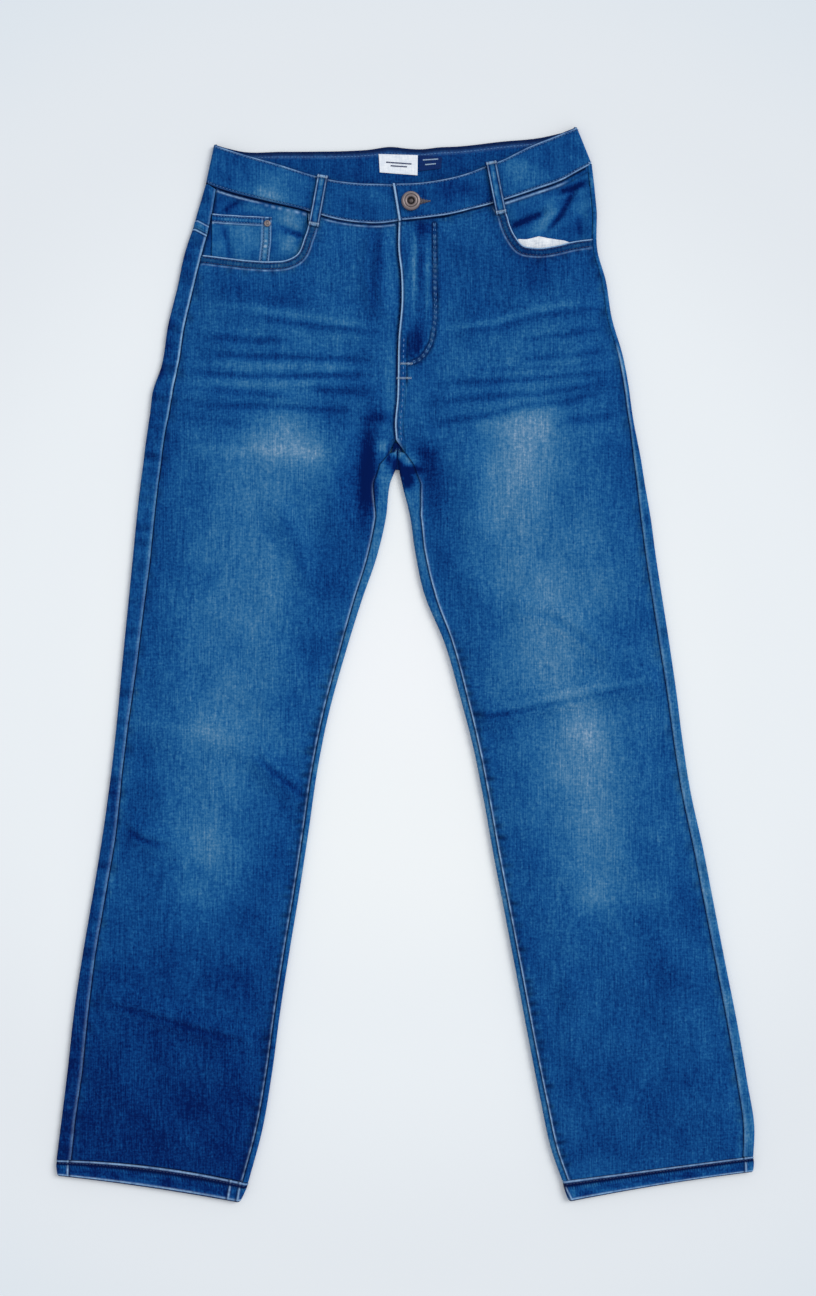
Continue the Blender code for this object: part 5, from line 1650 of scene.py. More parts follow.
@dataclass
class Backs(SubAssembly):
    """Back panels and yokes: flat beneath, curled up round both edges."""

    @staticmethod
    def section_loops(leg: LegPattern, rows: Array, sags: Array) -> tuple[Array, Array, Array]:
        """Closed section loops of a back panel.

        Args:
            leg: the leg's pattern.
            rows: finely read section rows.
            sags: sag of each row.

        Returns:
            Loops as an array of rows by points by 3, and for the outer face
            the distance from the seam edge and a code: 1 on the strip at the
            outseam, 2 on the one at the inseam, 0 on the flat.
        """
        sign = leg.sign
        r = FOLD_RADIUS
        n_curl, n_flat = 30, 14
        outer_x, outer_y, outseam, drop, inner_x, inner_y, inseam, wrap = rows.T
        out_len = math.pi * r + np.maximum(outseam - GAP / 2 - r, 0.3)
        in_len = np.where(
            wrap > 0.999, math.pi * r + np.maximum(inseam - GAP / 2 - r, 0.3), math.pi * r * wrap)
        share = np.linspace(0.0, 1.0, n_curl) ** 1.25
        place = run_length(rows)

        def curl(s: Array, depth: float, end_x: Array, end_y: Array, fall: Array, turn: float,
                 relief: Array) -> Array:
            """Points at distance s from the flat, round the curl and back."""
            bend = np.minimum(s / r, math.pi)
            reach = r - depth + relief
            x = end_x[:, None] + turn * reach * np.sin(bend)
            z = r - reach * np.cos(bend)
            past = np.maximum(s - math.pi * r, 0.0)
            x = x - turn * past
            full = np.maximum(out_len if turn == sign else in_len, math.pi * r + 0.1) - math.pi * r
            y = end_y[:, None] - fall[:, None] * np.clip(past / full[:, None], 0.0, 1.0)
            return np.stack([x, y + 0.0 * x, z], -1)

        turn_x = outer_x - sign * r
        start_x = inner_x + sign * r * np.sin(math.pi * np.minimum(wrap, 0.5))
        s_out = (1.0 - share)[None, :] * out_len[:, None]
        s_in = (1.0 - share[::-1])[None, :] * in_len[:, None]
        relief_out = Backs.strip_relief(s_out, out_len, place, sign, 1)
        relief_in = Backs.strip_relief(s_in, in_len, place, sign, 2) * (wrap > 0.999)[:, None]
        zero = np.zeros_like(drop)
        loops = []
        for depth, bumps in ((0.0, (relief_out, relief_in)), (DENIM, (0.0 * s_out, 0.0 * s_in))):
            a = curl(s_out, depth, turn_x, outer_y, drop, sign, bumps[0])
            b = curl(s_in, depth, start_x, inner_y, zero, -sign, bumps[1])
            t = np.linspace(0.0, 1.0, n_flat + 2)[1:-1][None, :]
            x = turn_x[:, None] + (start_x - turn_x)[:, None] * t
            y = outer_y[:, None] + (inner_y - outer_y)[:, None] * t + (sags[:, None] * 4.0 * t * (1.0 - t))
            flat = np.stack([x, y, np.full_like(x, depth)], -1)
            loops.append(np.concatenate([a, flat, b], axis=1))
        edge = np.concatenate([out_len[:, None] - s_out, np.full(flat.shape[:2], 99.0),
                               in_len[:, None] - s_in], axis=1)
        code = np.concatenate(
            [np.ones_like(s_out), np.zeros(flat.shape[:2]), np.full_like(s_in, 2.0)], axis=1)
        return np.concatenate([loops[0], loops[1][:, ::-1]], axis=1), edge, code

    @staticmethod
    def strip_relief(s: Array, full: Array, place: Array, sign: int, edge: int) -> Array:
        """Raised seam allowance and its puckers on the strip that shows.

        Args:
            s: distance from the flat.
            full: distance of the seam edge.
            place: place along the leg of each row.
            sign: side of the leg.
            edge: 1 at the outseam, 2 at the inseam.

        Returns:
            Millimetres added to the outer face.
        """
        away = full[:, None] - s
        onto = smooth((s - 0.5 * math.pi * FOLD_RADIUS) / 3.0)
        ridge = 0.55 * smooth(away / 0.9) * (1.0 - 0.6 * smooth((away - 5.5) / 3.0)) - 0.25
        pitch = 13.0 if edge == 1 else 9.0
        draw = np.random.default_rng(90 + sign + edge)
        wave = np.zeros_like(place)
        at = 4.0
        while at < place[-1]:
            wave -= draw.uniform(0.3, 1.0) * bell(place, at, pitch * 0.22)
            at += pitch * draw.uniform(0.8, 1.25)
        pucker = 0.55 * wave[:, None] * smooth(away / 2.5)
        return (ridge + pucker) * onto

    def wear(self, leg: LegPattern, kind: str, points: Array, edge: Array, code: Array) -> dict[str, Array]:
        """Tone, worn and dark values of a back panel's outer and inner face."""
        width = edge.shape[1]
        x, y = points[:, :width, 0], points[:, :width, 1]
        place = run_length(points[:, 0])[:, None] + np.zeros_like(x)
        left = leg.side is Side.LEFT
        tone = np.where(x < -5.0, along(RIGHT_TONE, y), along(LEFT_TONE, y))
        tone = tone + 0.05 * ripple(x, y, 52, 10.0, 40.0)
        lower = smooth((40.0 - y) / 160.0)
        outer = code == 1
        if left:
            tone = tone + np.where(outer, 0.04 + 0.12 * lower, 0.08 + 0.10 * lower)
            tone = np.where(outer, tone + (0.45 - tone) * smooth((y - 292.0) / 20.0), tone)
        else:
            tone = tone + np.where(outer, -0.07 + 0.03 * lower, 0.14 + 0.06 * smooth((-330.0 - y) / 60.0))
            tone = tone - Patch(-262, -130, 16, 50, -6, 0.08).change(x, y) * outer
        tone = tone - Patch(203, 222, 12, 26, 0, 0.16).change(x, y) * outer
        # The inner strips take up the fork's painted shade and highlights
        for mark in FORK_SHADE_AND_WASH:
            tone = tone + mark.change(x, y) * (code == 2)
        uneven = ripple(place, place * 0.0, 53 + leg.sign, 12.0, 31.0)
        tone = tone + 0.05 * uneven
        shown = smooth((292.0 - y) / 14.0) if left else 1.0 - 0.75 * smooth((y - 380.0) / 12.0)
        spread = 0.7 + 0.6 * smooth((230.0 - y) / 200.0)
        near_seam = bell(edge, 0.8, spread) * (0.85 + 0.25 * uneven)
        worn = (0.16 if left else 0.20) + 0.5 * smooth((y - 200.0) / 60.0)
        worn = np.where(outer, worn * near_seam * shown, 0.0)
        tone = tone + np.where(outer, 0.30 * bell(edge, 0.0, 2.6 * spread) * shown * (1.6 - spread), 0.0)
        for mark in HIP_SHADES:
            tone = tone + mark.change(x, y) * outer
        dark = np.where(code == 2, 0.8 * bell(edge, 0.4, 0.8), 0.0)
        patchy = 0.28 * np.clip(-uneven, 0, 1) * smooth((edge - 1.5) / 2.0)
        dark = np.maximum(dark, np.where(outer, patchy, 0.0))
        seam = place[-1, 0] - place if kind == "yoke" else place
        if not left:
            # Place, half width (negative for a dark line) and strength
            lines = ((3.2, 0.5, 0.9), (1.8, -0.6, 0.8), (4.6, -0.5, 0.8))
            if kind == "yoke":
                lines = ((4.6, 0.5, 0.7), (6.0, -0.6, 0.6))
            for spot, pole, strength in lines:
                line = strength * bell(seam, spot, abs(pole)) * outer
                worn = np.maximum(worn, line if pole > 0 else 0.0)
                dark = np.maximum(dark, line if pole < 0 else 0.0)
            tone = tone + 0.18 * (1.0 - smooth((seam - 2.5) / 2.0)) * outer
        tone = np.where(code == 0, 0.34, tone)
        data = {"tone": tone, "worn": worn, "dark": dark}
        return {key: np.concatenate([v, v[:, ::-1]], axis=1).ravel() for key, v in data.items()}

    def build(self) -> None:
        """Make the panels and the yokes of both legs."""
        for leg in (RIGHT_LEG, LEFT_LEG):
            word = leg.side.name.lower()
            count = len(leg.panel)
            ramp = smooth((np.arange(count) - count + 30) / 30.0)
            for kind, rows, sags in (
                ("back", leg.panel, leg.hem_sag * ramp),
                ("yoke", leg.yoke, np.linspace(leg.yoke_sag, 0.0, len(leg.yoke))),
            ):
                loops, edge, code = self.section_loops(leg, rows, sags)
                loops[..., 2] = np.maximum(loops[..., 2], 0.0)
                faces = close_loft(loops, leg.side is Side.LEFT)
                values = self.wear(leg, kind, loops, edge, code)
                piece = make_piece(
                    f"{kind}_{word}_denim", loops.reshape(-1, 3), faces, self.finishes.denim[leg.side],
                    values)
                self.dress(f"{kind}_{word}", piece, "denim_back", f"{kind}_{word}")
                LOG.info("%s: %d faces", piece.name, len(faces))
        self.close_fork()

    def close_fork(self) -> None:
        """Fill the slit above the fork with a small dark sheet shaped like the end of the seat seam's
        allowance, as painted shade of the hollow there.
        """
        middle = np.linspace(-7.4, -8.2, 14)
        run = np.linspace(199.5, 175.5, 14)
        half = np.linspace(3.0, 7.5, 14)
        corners = ((-1.0, 2.6), (0.0, 2.4), (1.0, 2.6), (1.0, 3.6), (0.0, 3.4), (-1.0, 3.6))
        loops = np.array([
            [(x + w * side, y + 1.5 * side * side * (y < 180.0) * -1.0, z) for side, z in corners]
            for x, y, w in zip(middle, run, half)])
        faces = close_loft(loops, False)
        count = loops.shape[0] * loops.shape[1]
        # Near black: painted shade of the hollow in the slit
        values = {"tone": np.full(count, 0.04), "worn": np.zeros(count), "dark": np.full(count, 0.55)}
        piece = make_piece(
            "fork_slit_shade_sheet", loops.reshape(-1, 3), faces, self.finishes.denim[Side.LEFT], values)
        self.dress("fork_slit_shade_sheet", piece, "denim_back")


@dataclass
class Hems(SubAssembly):
    """Turned hems: a flattened ring round each leg end, drawn in by its stitch."""

    # Place of the stitches down the hem's height
    stitch_share: float = 0.17
    # Where the leg seams run through the hem: X at its top and bottom, dark side
    fells: dict[Side, tuple] = field(default_factory=lambda: {
        Side.RIGHT: ((-303.8, -304.0, 1.0), (-148.5, -151.5, -1.0), (-157.0, -160.0, -1.0)),
        Side.LEFT: ((141.5, 150.5, -1.0), (306.0, 306.5, -1.0)),
    })

    @staticmethod
    def loop(row: Array, leg: LegPattern, inner: bool, puff: float, rope: float) -> Array:
        """One loop of points round the hem.

        Args:
            row: outer x and y, inner x and y, and sag.
            leg: the leg's pattern.
            inner: True for the inside face.
            puff: how far this loop swells out.
            rope: depth of the slanting ridges that the stitch pulls up.

        Returns:
            The loop's points, the top side last.
        """
        outer_x, outer_y, inner_x, inner_y, sag = row
        sign = leg.sign
        reach = (HEM_RADIUS - HEM_WALL) if inner else HEM_RADIUS + puff
        bend = np.linspace(0.0, math.pi, HEM_BEND)
        part = np.linspace(0.0, 1.0, HEM_FACE + 2)[1:-1]
        left, right = outer_x - sign * HEM_RADIUS, inner_x + sign * HEM_RADIUS
        groups = []
        for end_x, end_y, facing, shares, level in (
            (left, outer_y, sign, part, -1.0), (right, inner_y, -sign, part[::-1], 1.0),
        ):
            height = HEM_RADIUS + reach * np.cos(bend) * (1.0 if level < 0 else -1.0)
            groups.append(np.stack([
                end_x + facing * reach * np.sin(bend), np.full_like(bend, end_y), height], 1))
            x = left + (right - left) * shares
            y = outer_y + (inner_y - outer_y) * shares + sag * 4.0 * shares * (1.0 - shares)
            twist = 0.0 if inner else rope * np.sin(2 * math.pi * (x * 0.9 + y * 1.6) / 9.5)
            wide = np.full_like(x, HEM_RADIUS + level * reach)
            groups.append(np.stack([x, y, wide + (twist if level > 0 else 0.0)], 1))
        return np.concatenate(groups)

    def build(self) -> None:
        """Make both hems and sew them."""
        rows_of_thread = []
        for leg, table in ((RIGHT_LEG, RIGHT_HEM), (LEFT_LEG, LEFT_HEM)):
            word = leg.side.name.lower()
            rows = resample(np.array(table), np.array([0.0, 7.5, 15.0]), 0.5)
            loops, places = [], []
            count = len(rows)
            for index, row in enumerate(rows):
                share = index / (count - 1)
                puff = 0.45 * math.sin(math.pi * share) ** 0.6
                puff -= 0.35 * math.exp(-(((share - 0.16) / 0.07) ** 2))
                puff -= 0.7 * smooth((share - 0.93) / 0.07) + 0.35 * (1.0 - smooth(share / 0.06))
                loops.append(self.loop(row, leg, False, float(puff), 0.16 * math.sin(math.pi * share)))
                places.append(share)
            for row in rows[::-6]:
                loops.append(self.loop(row, leg, True, 0.0, 0.0))
                places.append(0.5)
            stack = np.array(loops)
            stack[..., 2] = np.maximum(stack[..., 2], 0.0)
            share = np.array(places)[:, None] + np.zeros(stack.shape[:2])
            x, y = stack[..., 0], stack[..., 1]
            base = 0.13 if leg.side is Side.RIGHT else 0.22
            tone = base + 0.10 * ripple(x, y, 61 + leg.sign, 9.0, 30.0) + 0.10 * smooth((share - 0.5) / 0.4)
            slant = 2 * math.pi * (x * 0.95 + y * 0.3) / 2.1
            ticks = 0.5 + 0.5 * np.sin(slant + ripple(x, y, 65, 12.0, 30.0))
            uneven = 0.85 + 0.25 * ripple(x, y, 66, 6.0, 20.0)
            worn = (0.75 * bell(share, 0.05, 0.045) + 0.75 * bell(share, 0.90, 0.04)) * uneven
            tone = tone + 0.24 * ticks * uneven * bell(share, 0.38, 0.12)
            dark = 0.95 * bell(share, 0.20, 0.10, 4.0) + 0.95 * smooth((share - 0.94) / 0.02)
            dark = dark + 0.55 * (1.0 - ticks) * bell(share, 0.32, 0.12)
            for upper, lower, side in self.fells[leg.side]:
                across = x - upper - (lower - upper) * share
                worn = np.maximum(worn, 0.8 * bell(across, 0.0, 0.7))
                dark = np.maximum(dark, 0.85 * bell(across, side * 1.7, 0.8))
                tone = tone + 0.14 * bell(across, side * -4.0, 3.0)
            values = mesh_values(tone, worn, dark)
            faces = close_loft(stack, leg.side is Side.LEFT, ring=True)
            piece = make_piece(f"hem_{word}_denim", stack.reshape(-1, 3), faces,
                               self.finishes.denim[leg.side], values)
            self.dress(word, piece, "denim_hem", f"hem_{word}")
            top_side = stack[int(self.stitch_share * (count - 1))][-HEM_FACE:]
            rows_of_thread.append(StitchRow(top_side + np.array([0.0, 0.0, 0.1]), 3.0, 2.2, 0.55, 0.45))
        self.sew_rows("stitches_hems", rows_of_thread, Thread.NAVY, 9, "denim_hem")


@dataclass
class Waistband(SubAssembly):
    """The waistband strip: front over front at the fly, round both sides."""

    # Places of the mesh's columns across the band, from its top to its lower edge
    across: tuple[float, ...] = (
        0.0, 0.010, 0.020, 0.030, 0.040, 0.052, 0.066, 0.080, 0.10, 0.15, 0.22, 0.30, 0.38, 0.46,
        0.54, 0.62, 0.70, 0.78, 0.85, 0.90, 0.920, 0.934, 0.948, 0.960, 0.970, 0.980, 0.990, 1.0,
    )
    # Columns that carry the stitches outside and inside
    outer_rows: tuple[int, int] = (6, 21)
    inner_row: int = 9

    @staticmethod
    def pair(top: Line, low: Line, spacing: float = 2.0) -> Array:
        """Matching points of the upper and lower edge, read finely."""
        rows = np.concatenate([np.array(top, dtype=float), np.array(low, dtype=float)], axis=1)
        middle = (rows[:, :2] + rows[:, 2:]) / 2
        steps = run_length(middle)
        return resample(rows, steps, spacing)

    @staticmethod
    def back_low(x: float) -> tuple[float, float]:
        """Point of the back's lower edge below X on its upper edge."""
        if x < 0.0:
            leg, share = RIGHT_LEG, (x + 170.2) / 163.2
        else:
            leg, share = LEFT_LEG, (160.0 - x) / 166.0
        share = min(max(share, 0.04), 0.97)
        outer_x, outer_y, _, _, inner_x, inner_y, _, _ = leg.yoke[0]
        turn_x = outer_x - leg.sign * FOLD_RADIUS
        y = outer_y + (inner_y - outer_y) * share + leg.yoke_sag * 4.0 * share * (1.0 - share)
        return turn_x + (inner_x - turn_x) * share, y + GAP

    def profile(self) -> Array:
        """Height of the outer face across the band: grooves at both stitch rows."""
        w = np.array(self.across)
        puff = 0.35 * np.sin(math.pi * w)
        grooves = 0.3 * bell(w, 0.066, 0.016) + 0.3 * bell(w, 0.934, 0.016)
        rim = 0.5 * (1.0 - smooth(w / 0.02)) + 0.5 * (1.0 - smooth((1.0 - w) / 0.02))
        return puff - grooves - rim

    def stations(self) -> list[tuple[Array, Array, float, float, float, float, float]]:
        """Stations along the strip: both edge points, heights and shifts.

        Returns:
            Rows of upper point, lower point, outside height, inside height,
            outside shift, inside shift, and 1 where the outside faces up, -1
            where it faces down and between on the turns.
        """
        level = 2 * BAND_RADIUS
        inner_reach = BAND_RADIUS - BAND
        rows = []
        front = self.pair(RIGHT_BAND_TOP, RIGHT_WAIST_SEAM)[::-1]
        for row in front[:-1]:
            rows.append((row[:2], row[2:] + (0.0, GAP), level, level - BAND, 0.0, 0.0, 1.0))
        for sign, top, low in ((-1, RIGHT_BAND_TOP[0], RIGHT_WAIST_SEAM[0]),
                               (1, LEFT_BAND_TOP[0], LEFT_WAIST_SEAM[0])):
            turns = []
            for bend in np.linspace(0.0, math.pi, 13):
                outside = BAND_RADIUS + BAND_RADIUS * math.cos(bend)
                inner = BAND_RADIUS + inner_reach * math.cos(bend)
                turns.append((
                    np.array(top), np.array(low) + (0.0, GAP), outside, inner,
                    sign * (math.sin(bend) - 1.0) * BAND_RADIUS,
                    sign * (inner_reach * math.sin(bend) - BAND_RADIUS), math.cos(bend)))
            rows += turns if sign < 0 else turns[::-1]
            if sign < 0:
                lows = [self.back_low(x) for x, y in BACK_BAND_TOP[1:-1]]
                for row in self.pair(BACK_BAND_TOP[1:-1], lows):
                    rows.append((row[:2], row[2:], 0.0, BAND, 0.0, 0.0, -1.0))
        last = self.pair(LEFT_BAND_TOP, LEFT_WAIST_SEAM)[1:]
        spots = np.concatenate(
            [np.arange(len(last) - 3.0), np.arange(len(last) - 3.0, len(last) - 0.99, 0.2)])
        last = np.stack([np.interp(spots, np.arange(len(last)), last[:, i]) for i in range(4)], 1)
        for row in last:
            rise = LAP_RISE * float(1.0 - smooth((row[2] - 30.0) / 30.0))
            rows.append((row[:2], row[2:] + (0.0, GAP), level + rise, level - BAND + rise, 0.0, 0.0, 1.0))
        return rows

    def build(self) -> None:
        """Make the band and sew both edges."""
        w = np.array(self.across)
        profile = self.profile()
        rows = self.stations()
        loops, flags = [], []
        for top, low, outside, inner, shift_out, shift_in, facing in rows:
            xy = top[None, :] + (low - top)[None, :] * w[:, None]
            wave = 0.28 * ripple(xy[:, 0], xy[:, 1], 21, 14.0, 44.0) * np.sin(math.pi * w)
            swell = (profile + wave) * (facing if facing > 0 else 0.0)
            if outside > BAND_TOP + 2.0:
                swell = swell - 0.5 * float(1.0 - smooth((xy[-1, 0] + 6.0) / 0.8))
            face = np.stack([xy[:, 0] + shift_out, xy[:, 1], outside + swell], 1)
            back = np.stack([xy[:, 0] + shift_in, xy[:, 1], np.full(len(w), inner)], 1)
            if facing < 0:
                back[:, 2] += 0.15 * wave - 0.45 * (1.0 - smooth(w / 0.03))
            loops.append(np.concatenate([face, back[::-1]]))
            flags.append(np.full(2 * len(w), facing))
        stack = np.array(loops)
        facing = np.array(flags)
        x, y = stack[..., 0], stack[..., 1]
        across = np.concatenate([w, w[::-1]])[None, :] + 0.0 * x
        outside = np.concatenate([np.ones(len(w)), np.zeros(len(w))])[None, :] + 0.0 * x
        end_x = np.interp(across, [0.0, 1.0], [-11.5, -6.0])
        on_left = np.arange(len(stack))[:, None] > 0.6 * len(stack)
        end = np.where(on_left & (facing > 0.99), x - end_x, FAR)
        values = self.wear(x, y, across, outside, facing, end)
        faces = close_loft(stack, True)
        piece = make_piece("waistband_denim", stack.reshape(-1, 3), faces, self.finishes.band, values)
        self.dress("band", piece, "denim_waist", "waistband")
        LOG.info("waistband: %d faces", len(faces))
        self.sew(stack, facing)

    @staticmethod
    def wear(x: Array, y: Array, across: Array, outside: Array, facing: Array,
             end: Array) -> dict[str, Array]:
        """Tone, worn and dark values of the band.

        Args:
            x: the points' X.
            y: the points' Y.
            across: 0 at the upper edge, 1 at the lower.
            outside: 1 on the outer face.
            facing: 1 where the outer face looks up.
            end: distance from the end at the fly.

        Returns:
            One array for each attribute of the mesh.
        """
        tone = np.full(x.shape, 0.36) + 0.06 * ripple(x, y, 23, 10.0, 46.0)
        for mark in (
            Patch(-118, 432, 22, 15, -14, 0.22), Patch(-124, 421, 24, 8, -14, 0.20),
            # Painted shadow that the left belt loop casts on the band
            Patch(76, 420, 7, 14, 0, -0.20),
            Patch(100, 448, 12, 12, 20, 0.22), Patch(112, 434, 16, 9, 20, 0.14),
            Patch(-45, 408, 24, 9, 0, -0.06), Patch(40, 425, 26, 12, 8, -0.20),
            Patch(-150, 458, 16, 10, 0, -0.05),
        ):
            tone = tone + mark.change(x, y)
        inner = outside < 0.5
        tone = np.where(inner, 0.26 + 0.04 * ripple(x, y, 24, 10.0, 30.0), tone)
        uneven = ripple(x, y, 25, 8.0, 26.0)
        worn = 0.75 * bell(across, 0.034, 0.012) * (0.75 + 0.35 * uneven)
        lower_edge = 0.15 + 0.85 * smooth((x + 96.0) / 16.0)
        worn = worn + 0.95 * lower_edge * bell(across, 0.972, 0.013) * (0.8 + 0.3 * uneven)
        # The dark line along the outer face's very top edge is painted shade on its rolled edge
        dark = 0.9 * bell(across, 0.0, 0.016) + 0.85 * bell(across, 1.0, 0.010)
        dark = dark + 0.6 * bell(across, 0.068, 0.016)
        dark = dark + 0.8 * bell(across, 0.934, 0.016)
        dark = dark + 0.9 * (1.0 - lower_edge) * smooth((across - 0.955) / 0.02)
        inner_worn = 0.10 * bell(across, 0.15, 0.02) * (0.7 + 0.3 * uneven)
        # The dark band along the top edge inside is partly wear on its fold and partly painted shade
        inner_dark = 0.90 * bell(across, 0.0, 0.105, 6.0)
        inner_worn = np.maximum(inner_worn, 0.10 * bell(across, 0.0, 0.10, 6.0))
        near_end = np.minimum(end, 99.0)
        worn = worn * (1.0 - bell(near_end, 0.0, 3.4, 6.0))
        worn = np.maximum(worn, 1.1 * bell(near_end, 0.9, 0.9, 4.0))
        dark = dark * (1.0 - bell(near_end, 0.0, 2.0, 6.0))
        dark = np.maximum(dark, 0.7 * bell(near_end, 2.7, 0.7))
        worn = np.where(inner, inner_worn, worn * (facing > -0.5))
        dark = np.where(inner, inner_dark, dark)
        return mesh_values(tone, worn, dark)

    def sew(self, stack: Array, facing: Array) -> None:
        """Stitch along both edges of the front and the upper edge inside the back."""
        up = facing[:, 0] > 0.7
        rows = []
        groups = np.split(np.arange(len(stack)), np.where(np.diff(up.astype(int)) != 0)[0] + 1)
        for group in groups:
            if not up[group[0]] or len(group) < 6:
                continue
            for index in self.outer_rows:
                rows.append(StitchRow(stack[group, index] + np.array([0.0, 0.0, 0.1]), width=0.55))
        self.sew_rows("stitches_waistband", rows, Thread.BLUE, 11, "denim_waist")
        down = np.where(facing[:, 0] < -0.99)[0]
        inner = stack[down, 2 * len(self.across) - 1 - self.inner_row] + np.array([0.0, 0.0, 0.15])
        self.sew_rows("stitches_inner_waistband", [StitchRow(inner)], Thread.BLUE, 12, "denim_waist")


@dataclass(frozen=True)
class MarkedTone:
    """Tone rule of a small piece: a base, its marks and a slight ripple."""

    base: float
    seed: int
    marks: list

    def __call__(self, x: Array, y: Array) -> Array:
        """Tone at each point."""
        tone = self.base
        for mark in self.marks:
            tone = tone + mark.change(x, y)
        return tone + 0.05 * ripple(x, y, self.seed, 9.0, 30.0)


